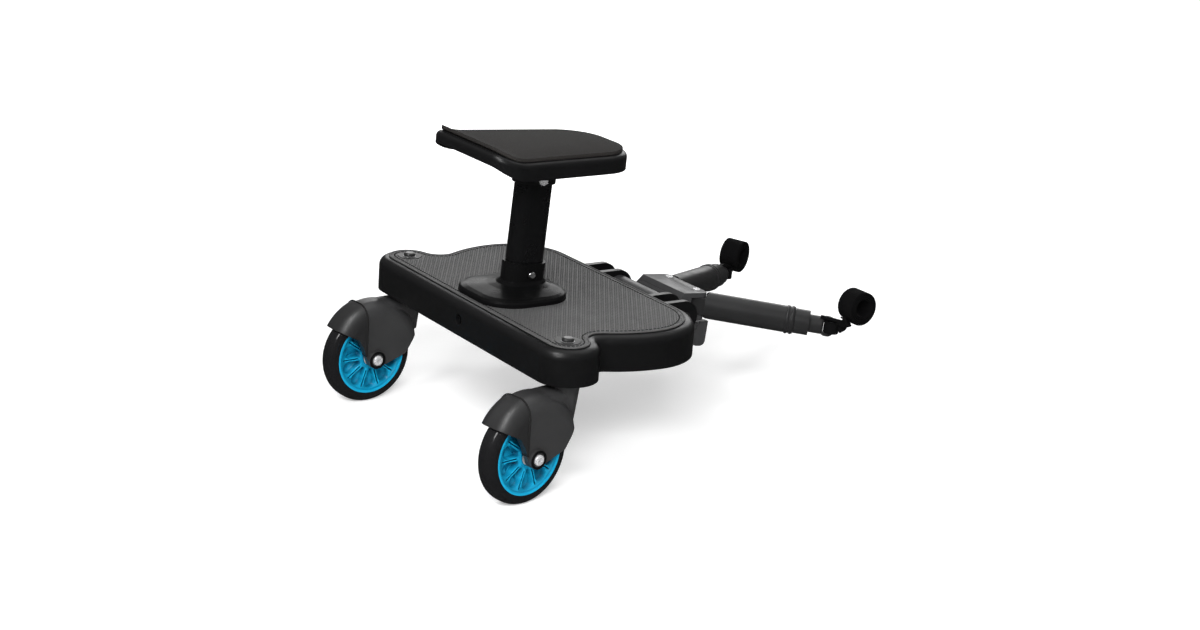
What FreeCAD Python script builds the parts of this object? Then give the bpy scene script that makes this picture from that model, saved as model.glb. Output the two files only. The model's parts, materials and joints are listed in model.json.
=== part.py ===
"""Buggy board: a ride-on step on two trailing casters, with a small seat, a front hinge and two clamp arms.

Millimetres, +Z up, +Y forward towards the arms, +X to the board's right.
The pieces are drawn with Y = 0 on the caster stems and Z = 0 on the floor, and at the end
everything moves so that the origin is at the bottom centre of the whole board.
"""
import FreeCAD
import Part
import math
import os
import re
from types import SimpleNamespace
from FreeCAD import Placement, Rotation, Vector

SIZES = {
    # Clearances
    "running_gap": 0.05,
    "moving_gap": 0.3,
    "seat_gap": 0.15,
    "overrun": 1.0,
    # Deck shell
    "deck_top": 181.0,
    "deck_depth": 42.0,
    "deck_edge_radius": 11.0,
    "deck_wall": 3.5,
    "deck_skin": 4.0,
    "stem_span": 366.0,
    "lobe_radius": 38.0,
    "notch_radius": 11.0,
    "deck_overhang": 20.0,
    "deck_front": 205.0,
    "corner_radius": 80.0,
    "side_radius": 156.0,
    "rib_thickness": 3.0,
    "rib_spacing": 58.0,
    "rib_clearance": 6.0,
    "rear_hole_radius": 6.5,
    "rear_hole_x": 6.0,
    "rear_hole_rise": 20.0,
    "stem_boss_radius": 16.0,
    "mat_inset": 13.0,
    "mat_thickness": 1.2,
    "mat_gap": 0.5,
    # Caster
    "wheel_radius": 60.0,
    "wheel_width": 26.0,
    "trail": 60.0,
    "left_yaw_angle": 4.0,
    "right_yaw_angle": 9.8,
    "tyre_depth": 12.7,
    "tread_radius": 10.0,
    "rim_depth": 4.0,
    "hub_boss_radius": 14.0,
    "web_thickness": 6.0,
    "pocket_count": 10.0,
    "pocket_inner_radius": 3.2,
    "pocket_outer_radius": 8.4,
    "pocket_margin": 1.5,
    "bearing_radius": 11.0,
    "bearing_width": 7.0,
    "axle_radius": 4.0,
    "axle_head_radius": 6.5,
    "axle_head_height": 3.5,
    "spacer_radius": 6.0,
    "fork_gap": 17.0,
    "fork_half_width": 24.0,
    "axle_boss_radius": 11.5,
    "axle_boss_half_width": 28.0,
    "fender_radius": 65.0,
    "fender_forward": 7.0,
    "fender_up": 7.0,
    "fender_shoulder": 19.0,
    "wheel_gap": 2.0,
    "fender_step": 2.0,
    "fender_seam": 15.0,
    "crown_rise": 28.0,
    "crown_rear": 52.0,
    "crown_rear_width": 42.0,
    "crown_rear_low": 100.0,
    "crown_rear_high": 130.0,
    "crown_front_width": 30.0,
    "crown_front_low": 90.0,
    "crown_front_high": 133.0,
    "crown_corner": 13.0,
    "neck_radius": 20.5,
    "neck_back": 3.0,
    "neck_foot_radius": 12.5,
    "neck_gap": 0.7,
    "stem_radius": 8.0,
    "stem_depth": 34.0,
    "bush_radius": 10.5,
    "washer_radius": 15.0,
    "washer_thickness": 1.8,
    "stem_bolt_radius": 3.0,
    "stem_bolt_length": 20.0,
    "stem_head_radius": 7.5,
    "stem_head_height": 4.0,
    # Seat base and post
    "post_y": 50.6,
    "post_lean_angle": 4.0,
    "post_width": 32.0,
    "post_length": 48.0,
    "post_corner": 15.5,
    "post_wall": 2.5,
    "post_bottom": 6.0,
    "post_top": 168.0,
    "collar_wall": 3.5,
    "collar_top": 41.0,
    "flange_y": 39.0,
    "flange_width": 120.0,
    "flange_length": 116.0,
    "flange_corner": 42.0,
    "flange_height": 19.0,
    "socket_floor": 4.0,
    "screw_radius": 2.5,
    "screw_head_radius": 4.5,
    "screw_head_height": 3.0,
    "base_screw_span_x": 78.0,
    "base_screw_span_y": 66.0,
    "base_screw_bite": 6.0,
    # Snap button
    "button_rise": 27.0,
    "button_radius": 5.2,
    "button_proud": 3.6,
    "button_foot_radius": 7.0,
    "button_foot": 2.5,
    "spring_thickness": 1.2,
    "spring_width": 9.0,
    "spring_bend": 13.0,
    # Seat
    "seat_rear": -41.0,
    "seat_front": 171.0,
    "seat_rear_width": 176.0,
    "seat_front_width": 126.0,
    "seat_rear_corner": 28.0,
    "seat_front_corner": 54.0,
    "seat_tilt_angle": 2.0,
    "seat_bottom": 342.0,
    "seat_thickness": 21.0,
    "seat_kick_length": 42.0,
    "seat_kick_rise": 15.0,
    "seat_under_rise": 17.0,
    "seat_edge_radius": 7.0,
    "seat_wall": 3.5,
    "seat_skin": 4.0,
    "pad_inset": 6.0,
    "pad_thickness": 4.5,
    "socket_drop": 22.5,
    "socket_plate": 5.0,
    "socket_plate_width": 74.0,
    "socket_plate_length": 92.0,
    "seat_screw_span_x": 56.0,
    "seat_screw_span_y": 74.0,
    "socket_bolt_rise": 144.0,
    "socket_bolt_radius": 3.0,
    "socket_bolt_head_radius": 5.5,
    "socket_bolt_head": 3.0,
    # Front hinge
    "hinge_reach": 27.0,
    "hinge_drop": 26.0,
    "ear_radius": 21.0,
    "ear_thickness": 8.0,
    "ear_outer_span": 176.0,
    "ear_inner_span": 108.0,
    "ear_root": 8.0,
    "hinge_pin_radius": 5.0,
    "hinge_head_radius": 8.0,
    "hinge_head": 3.0,
    # Connector block
    "droop_angle": 5.5,
    "block_width": 90.0,
    "block_rise": 17.0,
    "block_drop": 18.5,
    "block_front": 73.0,
    "block_plate": 6.2,
    "block_corner": 9.0,
    "barrel_radius": 15.0,
    "barrel_gap": 0.5,
    "web_front": 46.0,
    "slope_top": 34.0,
    "slope_foot": 20.0,
    "slope_fall": 14.0,
    "pivot_reach": 64.0,
    "pivot_span": 58.6,
    "pivot_radius": 4.0,
    "pivot_head_radius": 5.2,
    "pivot_head_height": 1.8,
    "cover_screw_span": 62.0,
    "cover_screw_y": 36.0,
    "cover_screw_bite": 4.0,
    "recess_width": 17.0,
    "recess_spacing": 20.0,
    "recess_low": 4.0,
    "recess_height": 8.0,
    "recess_end": 32.0,
    # Wing knobs
    "knob_neck_radius": 5.5,
    "knob_neck": 5.0,
    "knob_hub_radius": 8.0,
    "knob_hub": 8.0,
    "knob_offset": 14.0,
    "knob_wing_width": 20.0,
    "knob_wing_thickness": 8.0,
    "knob_wing_height": 25.0,
    # Arms
    "left_splay_angle": 27.0,
    "right_splay_angle": 41.0,
    "tongue_radius": 13.5,
    "tube_radius": 17.0,
    "tube_bore": 14.2,
    "tube_start": 13.5,
    "tube_root": 17.2,
    "tube_floor": 45.0,
    "tube_end": 122.0,
    "lock_ring_radius": 18.2,
    "lock_ring_back": 5.0,
    "lock_ring_front": 6.0,
    "rod_start": 50.0,
    "rod_end": 147.0,
    "rod_bore": 10.0,
    "rod_head_radius": 15.8,
    "rod_neck_radius": 11.3,
    "rod_neck_end": 163.0,
    "eye_height": 25.0,
    "eye_length": 18.5,
    "eye_corner": 8.0,
    "eye_thickness": 8.0,
    "eye_side": 4.5,
    "eye_bar": 7.5,
    # Straps
    "strap_width": 26.0,
    "strap_thickness": 2.2,
    "strap_loop_radius": 22.5,
    "strap_loop_wall": 10.1,
    "left_strap_forward": 21.5,
    "right_strap_forward": 26.5,
    "left_strap_up": 22.5,
    "right_strap_up": 32.0,
    "strap_wrap_radius": 6.2,
    "strap_neck_width": 15.0,
    "left_strap_angle": 0.0,
    "right_strap_angle": 41.0,
}

s = SimpleNamespace(**SIZES)
ALONG = {
    "X": Rotation(Vector(0, 1, 0), 90),
    "Y": Rotation(Vector(1, 0, 0), -90),
    "Z": Rotation(),
    "-Z": Rotation(Vector(1, 0, 0), 180),
}
SIDES = (("left", -1), ("right", 1))

# How far a face's normal points up before it counts as an upper face, and a dome's share of a head
UPWARD_SHARE = 0.3
DOME_SHARE = 0.8
WING_ROUND_SHARE = 0.35

# The seat base's bell, as shares of its height and of the way in from its rim to the collar
BELL_SHARES = (
    (0.0, 0.0), (0.30, 0.0), (0.42, 0.05), (0.52, 0.18), (0.60, 0.42), (0.68, 0.68), (0.80, 0.90), (1.0, 1.0),
)

# The fork's side view from its axle, as shares of the fender radius forward and up
CHEEK_SHARES = (
    (-0.14, -0.11), (0.12, -0.17), (0.68, 0.03), (0.90, 0.37), (0.87, 0.71), (0.92, 0.98), (0.92, 1.3),
    (-1.3, 1.3), (-1.3, 0.70), (-0.76, 0.62), (-0.41, 0.45), (-0.30, 0.27),
)

doc = FreeCAD.newDocument("BuggyBoard")
sheet = doc.addObject("Spreadsheet::Sheet", "Sizes")
for row, (name, value) in enumerate(SIZES.items(), start=1):
    sheet.set(f"A{row}", name)
    sheet.set(f"B{row}", str(value))
    sheet.setAlias(f"B{row}", name)
doc.recompute()
nodes = []


# Helpers that add bound objects to the document

def formula(text):
    """Turn a sum of size names into an expression on the sheet."""
    return re.sub(r"[a-z][a-z_]*", lambda word: "Sizes." + word.group(0), text)


def bind(piece, **formulas):
    for prop, text in formulas.items():
        piece.setExpression(prop, formula(text))
    return piece


def put(piece, at=("0", "0", "0"), along="Z"):
    """Turn a primitive along an axis and bind its place."""
    piece.Placement = Placement(Vector(), ALONG[along])
    for axis, text in zip("xyz", at):
        piece.setExpression(f"Placement.Base.{axis}", formula(text))
    return piece


def cylinder(radius, length, at=("0", "0", "0"), along="Z"):
    piece = doc.addObject("Part::Cylinder", "Cylinder")
    return put(bind(piece, Radius=radius, Height=length), at, along)


def box(width, length, height, at=("0", "0", "0")):
    """A box centred in X and Y on the place, standing on it."""
    piece = doc.addObject("Part::Box", "Box")
    bind(piece, Length=width, Width=length, Height=height)
    corner = (f"{at[0]} - ({width}) / 2", f"{at[1]} - ({length}) / 2", at[2])
    return put(piece, corner)


def cut(base, *tools):
    piece = doc.addObject("Part::Cut", "Cut")
    piece.Base = base
    piece.Tool = tools[0] if len(tools) == 1 else fuse(*tools)
    return piece


def fuse(*pieces):
    piece = doc.addObject("Part::MultiFuse", "Fuse")
    piece.Shapes = list(pieces)
    piece.Refine = True
    return piece


def common(*pieces):
    piece = doc.addObject("Part::MultiCommon", "Common")
    piece.Shapes = list(pieces)
    return piece


def tube(outer, inner, length, at=("0", "0", "0"), along="Z"):
    return cut(cylinder(outer, length, at, along), cylinder(inner, length, at, along))


def drawn(shape):
    """An outline worked out from the sizes."""
    piece = doc.addObject("Part::Feature", "Outline")
    piece.Shape = shape
    return piece


def extrude(face, length, direction=Vector(0, 0, 1), at=("0", "0", "0"), symmetric=False):
    piece = doc.addObject("Part::Extrusion", "Extrude")
    piece.Base = drawn(face)
    piece.DirMode = "Custom"
    piece.Dir = direction
    piece.Solid = True
    piece.Symmetric = symmetric
    bind(piece, LengthFwd=length)
    return put(piece, at)


def loft(*wires):
    piece = doc.addObject("Part::Loft", "Loft")
    piece.Sections = [drawn(wire) for wire in wires]
    piece.Solid = True
    piece.Ruled = True
    return piece


def rounded(base, radius, chosen):
    """Fillet the edges that the test chooses."""
    doc.recompute()
    piece = doc.addObject("Part::Fillet", "Fillet")
    piece.Base = base
    picked = [number for number, edge in enumerate(base.Shape.Edges, start=1) if chosen(edge)]
    piece.Edges = [(number, radius, radius) for number in picked]
    return piece


def at_height(height):
    """A test for edges that lie level at a height."""
    def test(edge):
        bounds = edge.BoundBox
        return abs(bounds.ZMin - height) < s.running_gap and abs(bounds.ZMax - height) < s.running_gap
    return test


def moved(piece, where):
    """A piece set into another frame."""
    holder = doc.addObject("Part::Compound", "Moved")
    holder.Links = [piece]
    holder.Placement = where
    return holder


def node(label, *pieces, where=Placement()):
    """One named piece of the board, or one group of like fasteners."""
    holder = doc.addObject("Part::Compound", label)
    holder.Label = label
    holder.Links = list(pieces)
    holder.Placement = where
    nodes.append(holder)
    return holder


# Outlines

def line(start, end):
    return Part.LineSegment(start, end).toShape()


def arc_about(centre, start, end):
    """The shorter arc about a centre."""
    middle = centre + ((start - centre) + (end - centre)).normalize() * (start - centre).Length
    return Part.Arc(start, middle, end).toShape()


def face_of(edges):
    return Part.Face(Part.Wire(Part.sortEdges(edges)[0]))


def polygon(points):
    corners = [Vector(*point) for point in points]
    return face_of([line(a, b) for a, b in zip(corners, corners[1:] + corners[:1])])


def rounded_rectangle(width, length, radius, level=0):
    """A level face with round corners, centred on the axis."""
    edges = []
    ends = []
    for quarter in range(4):
        turn = Rotation(Vector(0, 0, 1), 90 * quarter)
        sign = turn.multVec(Vector(1, 1, 0))
        centre = Vector(sign.x * (width / 2 - radius), sign.y * (length / 2 - radius), level)
        start = centre + turn.multVec(Vector(radius, 0, 0))
        end = centre + turn.multVec(Vector(0, radius, 0))
        edges.append(arc_about(centre, start, end))
        ends.append((start, end))
    for this, following in zip(ends, ends[1:] + ends[:1]):
        edges.append(line(this[1], following[0]))
    return face_of(edges)


def deck_outline():
    """Two caster lobes at the back, a notch each side, and a broad rounded front."""
    lobe = Vector(s.stem_span / 2, 0)
    half_width = lobe.x + s.deck_overhang
    corner = Vector(half_width - s.corner_radius, s.deck_front - s.corner_radius)
    side = Vector(half_width - s.side_radius, corner.y)
    to_lobe = s.lobe_radius + s.notch_radius
    to_side = s.side_radius + s.notch_radius
    between = side - lobe
    along = (to_lobe ** 2 - to_side ** 2 + between.Length ** 2) / (2 * between.Length)
    across = math.sqrt(to_lobe ** 2 - along ** 2)
    forward = Vector(between).normalize()
    outward = Vector(forward.y, -forward.x)
    notch = lobe + forward * along + outward * across
    lobe_rear = lobe - Vector(0, s.lobe_radius)
    lobe_notch = lobe + (notch - lobe) * (s.lobe_radius / to_lobe)
    side_notch = side + (notch - side) * (s.side_radius / to_side)
    side_front = Vector(half_width, corner.y)
    corner_front = Vector(corner.x, s.deck_front)
    right = [
        arc_about(lobe, lobe_rear, lobe_notch),
        arc_about(notch, lobe_notch, side_notch),
        arc_about(side, side_notch, side_front),
        arc_about(corner, side_front, corner_front),
    ]
    left = [edge.mirror(Vector(), Vector(1, 0, 0)) for edge in right]
    rear = line(Vector(-lobe_rear.x, lobe_rear.y), lobe_rear)
    front = line(Vector(-corner_front.x, corner_front.y), corner_front)
    return face_of(right + left + [rear, front])


def inset(face, distance):
    wire = face.OuterWire.makeOffset2D(-distance)
    return Part.Face(wire)


def seat_plan():
    """A straight back with round corners, sides that draw in, and a rounder front."""
    rear = Vector(s.seat_rear_width / 2, s.seat_rear)
    front = Vector(s.seat_front_width / 2, s.seat_front)
    points = [rear, front, Vector(-front.x, front.y), Vector(-rear.x, rear.y)]
    radii = [s.seat_rear_corner, s.seat_front_corner, s.seat_front_corner, s.seat_rear_corner]
    edges = []
    ends = []
    for number, (point, radius) in enumerate(zip(points, radii)):
        before = (points[number - 1] - point).normalize()
        after = (points[(number + 1) % len(points)] - point).normalize()
        half_angle = before.getAngle(after) / 2
        reach = radius / math.tan(half_angle)
        centre = point + (before + after).normalize() * (radius / math.sin(half_angle))
        ends.append((point + before * reach, point + after * reach))
        edges.append(arc_about(centre, ends[-1][0], ends[-1][1]))
    for this, following in zip(ends, ends[1:] + ends[:1]):
        edges.append(line(this[1], following[0]))
    return face_of(edges)


def seat_profile(low, high, low_rise, high_rise):
    """The seat's side view between two heights, with its rear end curving up."""
    kick_start = s.seat_rear + s.seat_kick_length
    front = s.seat_front + s.overrun
    rear = s.seat_rear - s.overrun

    def kick(height, rise):
        radius = (s.seat_kick_length ** 2 + rise ** 2) / (2 * rise)
        end = height + radius - math.sqrt(radius ** 2 - (kick_start - rear) ** 2)
        centre = Vector(0, kick_start, height + radius)
        return arc_about(centre, Vector(0, kick_start, height), Vector(0, rear, end)), Vector(0, rear, end)

    under, under_end = kick(low, low_rise)
    over, over_end = kick(high, high_rise)
    return face_of([
        line(Vector(0, front, low), Vector(0, kick_start, low)),
        under,
        line(under_end, over_end),
        over,
        line(Vector(0, kick_start, high), Vector(0, front, high)),
        line(Vector(0, front, high), Vector(0, front, low)),
    ])


# Frames

POST = Placement(Vector(0, s.post_y, s.deck_top), Rotation(Vector(1, 0, 0), -s.post_lean_angle))
SEAT = Placement(
    Vector(), Rotation(Vector(1, 0, 0), -s.seat_tilt_angle), Vector(0, s.post_y, s.seat_bottom),
)
HINGE = Placement(
    Vector(0, s.deck_front + s.hinge_reach, s.deck_top - s.hinge_drop),
    Rotation(Vector(1, 0, 0), -s.droop_angle),
)
PIVOT_LEVEL = (s.block_rise - s.block_drop) / 2


def caster_frame(side, sign):
    yaw = SIZES[f"{side}_yaw_angle"]
    return Placement(Vector(sign * s.stem_span / 2, 0, 0), Rotation(Vector(0, 0, 1), yaw))


def arm_frame(side, sign):
    splay = SIZES[f"{side}_splay_angle"]
    pivot = Vector(sign * s.pivot_span / 2, s.pivot_reach, PIVOT_LEVEL)
    return HINGE * Placement(pivot, Rotation(Vector(0, 0, 1), -sign * splay))


# Deck

def deck():
    outline = deck_outline()
    floor = "deck_top - deck_depth"
    outer = extrude(outline, "deck_depth", at=("0", "0", floor))
    outer = rounded(outer, s.deck_edge_radius, at_height(s.deck_top))
    hollow_face = inset(outline, s.deck_wall)
    hollow_top = s.deck_top - s.deck_skin
    hollow = extrude(hollow_face, "deck_depth - deck_skin", at=("0", "0", floor))
    hollow = rounded(hollow, s.deck_edge_radius - s.deck_wall, at_height(hollow_top))
    rib_floor = f"{floor} + rib_clearance"
    rib_height = "deck_depth - rib_clearance"
    ribs = []
    for step in range(-3, 4):
        place = (f"{step} * rib_spacing", "0", rib_floor)
        ribs.append(box("rib_thickness", "deck_front * 2", rib_height, place))
    for step in range(-1, 3):
        place = ("0", f"{step} * rib_spacing + rib_spacing / 2", rib_floor)
        ribs.append(box("stem_span + 2 * deck_overhang", "rib_thickness", rib_height, place))
    inside = common(hollow, fuse(*ribs))
    stems = [(f"{sign} * stem_span / 2", "0", floor) for side, sign in SIDES]
    bosses = [cylinder("stem_boss_radius", "deck_depth - deck_skin", at) for at in stems]
    bores = [cylinder("bush_radius", "deck_depth", at) for at in stems]
    hinge_y = "deck_front + hinge_reach"
    hinge_z = "deck_top - hinge_drop"
    ears = []
    for span in ("ear_outer_span", "ear_inner_span"):
        for side, sign in SIDES:
            face_x = f"{sign} * {span} / 2 - ear_thickness / 2"
            ears.append(cylinder("ear_radius", "ear_thickness", (face_x, hinge_y, hinge_z), "X"))
            root_y = "deck_front + (hinge_reach - ear_root) / 2"
            root = (f"{sign} * {span} / 2", root_y, f"{hinge_z} - ear_radius")
            ears.append(box("ear_thickness", "hinge_reach + ear_root", "ear_radius * 2", root))
    pin_start = ("-(ear_outer_span + ear_thickness)", hinge_y, hinge_z)
    pin_bore = cylinder("hinge_pin_radius", "2 * (ear_outer_span + ear_thickness)", pin_start, "X")
    rear_at = ("rear_hole_x", "-lobe_radius - overrun", f"{floor} + rear_hole_rise")
    rear_hole = cylinder("rear_hole_radius", "deck_wall + 2 * overrun", rear_at, "Y")
    body = fuse(cut(outer, hollow), inside, *bosses, *ears)
    node("deck_shell", cut(body, *bores, pin_bore, rear_hole, *base_screws()))

    mat = extrude(inset(outline, s.mat_inset), "mat_thickness", at=("0", "0", "deck_top"))
    flange = rounded_rectangle(s.flange_width, s.flange_length, s.flange_corner)
    flange_hole = extrude(inset(flange, -s.mat_gap), "mat_thickness", at=("0", "flange_y", "deck_top"))
    mat_at = [(x, y, "deck_top") for x, y, z in stems]
    washer_holes = [cylinder("washer_radius + mat_gap", "mat_thickness", at) for at in mat_at]
    node("deck_mat", cut(mat, flange_hole, *washer_holes))
    node("stem_bushes", *[tube("bush_radius", "stem_radius + running_gap", "deck_depth", at) for at in stems])
    washer = ("washer_radius", "stem_radius + moving_gap", "washer_thickness")
    node("stem_washers", *[tube(*washer, at) for at in mat_at])

    pin_half = "(ear_outer_span + ear_thickness) / 2"
    pin_at = (f"-({pin_half})", hinge_y, hinge_z)
    pin = cylinder("hinge_pin_radius", "ear_outer_span + ear_thickness", pin_at, "X")
    heads = [
        cylinder("hinge_head_radius", "hinge_head", (pin_half, hinge_y, hinge_z), "X"),
        cylinder("hinge_head_radius", "hinge_head", (f"-({pin_half}) - hinge_head", hinge_y, hinge_z), "X"),
    ]
    node("hinge_pin", fuse(pin, *heads))


def base_screws():
    """Screws from under the deck's skin into the seat base."""
    screws = []
    for x_sign in (-1, 1):
        for y_sign in (-1, 1):
            x = f"{x_sign} * base_screw_span_x / 2"
            y = f"flange_y + {y_sign} * base_screw_span_y / 2"
            shank = cylinder("screw_radius", "deck_skin + base_screw_bite", (x, y, "deck_top - deck_skin"))
            head_at = (x, y, "deck_top - deck_skin - screw_head_height")
            screws.append(fuse(shank, cylinder("screw_head_radius", "screw_head_height", head_at)))
    return screws


# Seat base, post and button

def post_section(extra):
    width = s.post_width + 2 * extra
    return rounded_rectangle(width, s.post_length + 2 * extra, s.post_corner + extra)


def button_bore(radius):
    return cylinder(radius, "post_width", ("0", "0", "button_rise"), "X")


def seat_base():
    """A bell from the flange's rim up to the collar that holds the post."""
    rim = (s.flange_width, s.flange_length, s.flange_corner, s.flange_y)
    both_walls = 2 * s.collar_wall
    collar_y = POST.multVec(Vector(0, 0, s.flange_height)).y
    top = (s.post_width + both_walls, s.post_length + both_walls, s.post_corner + s.collar_wall, collar_y)
    bell_wires = []
    for rise_share, inward_share in BELL_SHARES:
        width, length, corner, centre = [a + (b - a) * inward_share for a, b in zip(rim, top)]
        wire = rounded_rectangle(width, length, corner).OuterWire
        wire.translate(Vector(0, centre, s.deck_top + s.flange_height * rise_share))
        bell_wires.append(wire)
    collar = extrude(post_section(s.collar_wall), "collar_top")
    bore = extrude(post_section(s.seat_gap), "collar_top", at=("0", "0", "socket_floor"))
    leaning = moved(cut(collar, bore, button_bore("button_radius + running_gap")), POST)
    under = box("flange_width * 2", "flange_length * 2", "deck_top", ("0", "flange_y", "0"))
    post_room = moved(extrude(post_section(s.seat_gap), "collar_top", at=("0", "0", "socket_floor")), POST)
    bell = cut(loft(*bell_wires), post_room)
    node("seat_base", cut(fuse(bell, cut(leaning, under)), *base_screws()))
    node("base_screws", *base_screws())


def seat_post():
    height = "post_top - post_bottom"
    outside = extrude(post_section(0), height, at=("0", "0", "post_bottom"))
    inside = extrude(post_section(-s.post_wall), height, at=("0", "0", "post_bottom"))
    bolt = socket_bolt_shank()
    node("seat_post", cut(outside, inside, button_bore("button_radius + running_gap"), bolt), where=POST)


def snap_button():
    """A chrome button on a bent leaf spring inside the post, pushed in to free the seat."""
    inner = "post_width / 2 - post_wall"
    foot_start = f"{inner} - moving_gap - button_foot"
    foot = cylinder("button_foot_radius", "button_foot", (foot_start, "0", "button_rise"), "X")
    stem_start = f"{inner} - moving_gap"
    length = "post_wall + seat_gap + collar_wall + button_proud + moving_gap"
    stem = cylinder("button_radius", length, (stem_start, "0", "button_rise"), "X")
    tip = s.post_width / 2 + s.seat_gap + s.collar_wall + s.button_proud

    def at_tip(edge):
        return abs(edge.BoundBox.XMin - tip) < s.seat_gap

    button = rounded(fuse(foot, stem), s.button_proud * DOME_SHARE, at_tip)
    node("seat_button", button, where=POST)

    leg_height = "spring_bend + button_foot_radius"
    leg_low = "button_rise - spring_bend"
    front_x = f"{foot_start} - spring_thickness / 2"
    back_x = f"-({inner}) + spring_thickness / 2 + seat_gap"
    front = box("spring_thickness", "spring_width", leg_height, (front_x, "0", leg_low))
    back = box("spring_thickness", "spring_width", leg_height, (back_x, "0", leg_low))
    bridge_width = f"2 * ({inner}) - moving_gap - button_foot - seat_gap"
    bridge_x = f"({foot_start} - ({inner}) + seat_gap) / 2"
    bridge = box(bridge_width, "spring_width", "spring_thickness", (bridge_x, "0", leg_low))
    node("button_spring", fuse(front, back, bridge), where=POST)


# Seat

def socket_bolt_shank():
    half = "post_width / 2 + collar_wall + seat_gap"
    return cylinder("socket_bolt_radius", f"2 * ({half})", (f"-({half})", "0", "socket_bolt_rise"), "X")


def seat_screws():
    screws = []
    for x_sign in (-1, 1):
        for y_sign in (-1, 1):
            x = f"{x_sign} * seat_screw_span_x / 2"
            y = f"post_y + {y_sign} * seat_screw_span_y / 2"
            top = "seat_bottom + seat_thickness - seat_skin"
            shank_at = (x, y, f"{top} - socket_plate")
            shank = cylinder("screw_radius", "socket_plate + seat_skin / 2", shank_at)
            head_at = (x, y, f"{top} - socket_plate - screw_head_height")
            screws.append(fuse(shank, cylinder("screw_head_radius", "screw_head_height", head_at)))
    return screws


def faces_up(face):
    low, high = face.ParameterRange[0:2]
    near, far = face.ParameterRange[2:4]
    return face.normalAt((low + high) / 2, (near + far) / 2).z > UPWARD_SHARE


def seat():
    plan = seat_plan()
    tall = "seat_thickness * 4"
    plan_floor = ("0", "0", "seat_bottom - seat_thickness")
    top = s.seat_bottom + s.seat_thickness
    profile = seat_profile(s.seat_bottom, top, s.seat_under_rise, s.seat_kick_rise)
    across = Vector(1, 0, 0)
    outer = common(
        extrude(plan, tall, at=plan_floor),
        extrude(profile, "seat_rear_width * 2", across, symmetric=True),
    )
    doc.recompute()
    upper = [face for face in outer.Shape.Faces if faces_up(face) and face.CenterOfMass.z > top - s.overrun]

    def on_border(edge):
        """The edge round the seat's upper side, level or on its upturned end."""
        return sum(1 for face in upper for other in face.Edges if other.isSame(edge)) == 1

    shell = rounded(outer, s.seat_edge_radius, on_border)
    rise = s.seat_kick_rise
    inner_profile = seat_profile(s.seat_bottom - s.seat_thickness, top - s.seat_skin, rise, rise)
    hollow = common(
        extrude(inset(plan, s.seat_wall), tall, at=plan_floor),
        extrude(inner_profile, "seat_rear_width * 2", across, symmetric=True),
    )
    node("seat_shell", cut(shell, hollow, *seat_screws()), where=SEAT)

    pad_low = top + s.seat_gap
    pad_profile = seat_profile(pad_low, pad_low + s.pad_thickness, rise, rise)
    pad = common(
        extrude(inset(plan, s.pad_inset), tall, at=plan_floor),
        extrude(pad_profile, "seat_rear_width * 2", across, symmetric=True),
    )
    node("seat_pad", pad, where=SEAT)

    plate_top = "seat_bottom + seat_thickness - seat_skin"
    plate_face = rounded_rectangle(s.socket_plate_width, s.socket_plate_length, s.post_corner)
    plate = extrude(plate_face, "socket_plate", at=("0", "post_y", f"{plate_top} - socket_plate"))
    sleeve_low = "seat_bottom - deck_top - socket_drop"
    sleeve_height = "socket_drop + seat_thickness"
    sleeve = extrude(post_section(s.collar_wall), sleeve_height, at=("0", "0", sleeve_low))
    bore_height = f"post_top + seat_gap - ({sleeve_low})"
    bore = extrude(post_section(s.seat_gap), bore_height, at=("0", "0", sleeve_low))
    over = box("seat_rear_width", "seat_front * 2", "deck_top", ("0", "post_y", plate_top))
    sleeve_moved = cut(moved(sleeve, POST), moved(over, SEAT))
    tools = [moved(bore, POST), moved(socket_bolt_shank(), POST)]
    tools += [moved(screw, SEAT) for screw in seat_screws()]
    node("seat_socket", cut(fuse(moved(plate, SEAT), sleeve_moved), *tools))
    node("seat_screws", *seat_screws(), where=SEAT)

    half = "post_width / 2 + collar_wall + seat_gap"
    heads = [
        cylinder("socket_bolt_head_radius", "socket_bolt_head", (half, "0", "socket_bolt_rise"), "X"),
        cylinder(
            "socket_bolt_head_radius", "socket_bolt_head",
            (f"-({half}) - socket_bolt_head", "0", "socket_bolt_rise"), "X",
        ),
    ]
    node("socket_bolt", fuse(socket_bolt_shank(), *heads), where=POST)


# Casters

def fork_body(extra):
    """Cheeks and fender as one round-shouldered body, grown by a little for the fender's step."""
    axle = Vector(0, -s.trail, s.wheel_radius)
    cheek = [axle + Vector(0, forward, up) * s.fender_radius for forward, up in CHEEK_SHARES]
    side_view = extrude(polygon(cheek), "fork_half_width * 4", Vector(1, 0, 0), symmetric=True)
    place = (f"-fork_half_width - {extra}", "fender_forward - trail", "wheel_radius + fender_up")
    disc = cylinder(f"fender_radius + {extra}", f"2 * (fork_half_width + {extra})", place, "X")

    def rim(edge):
        return edge.BoundBox.XLength < s.running_gap

    return common(side_view, rounded(disc, s.fender_shoulder, rim))


def crown_section(width, low, high, forward):
    """An upright round-cornered section of the fork's crown."""
    wire = rounded_rectangle(width, high - low, s.crown_corner).OuterWire
    wire.rotate(Vector(), Vector(1, 0, 0), 90)
    wire.translate(Vector(0, forward, (low + high) / 2))
    return wire


def ring_at(radius, forward, height):
    return Part.Wire(Part.makeCircle(radius, Vector(0, forward, height)))


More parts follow.
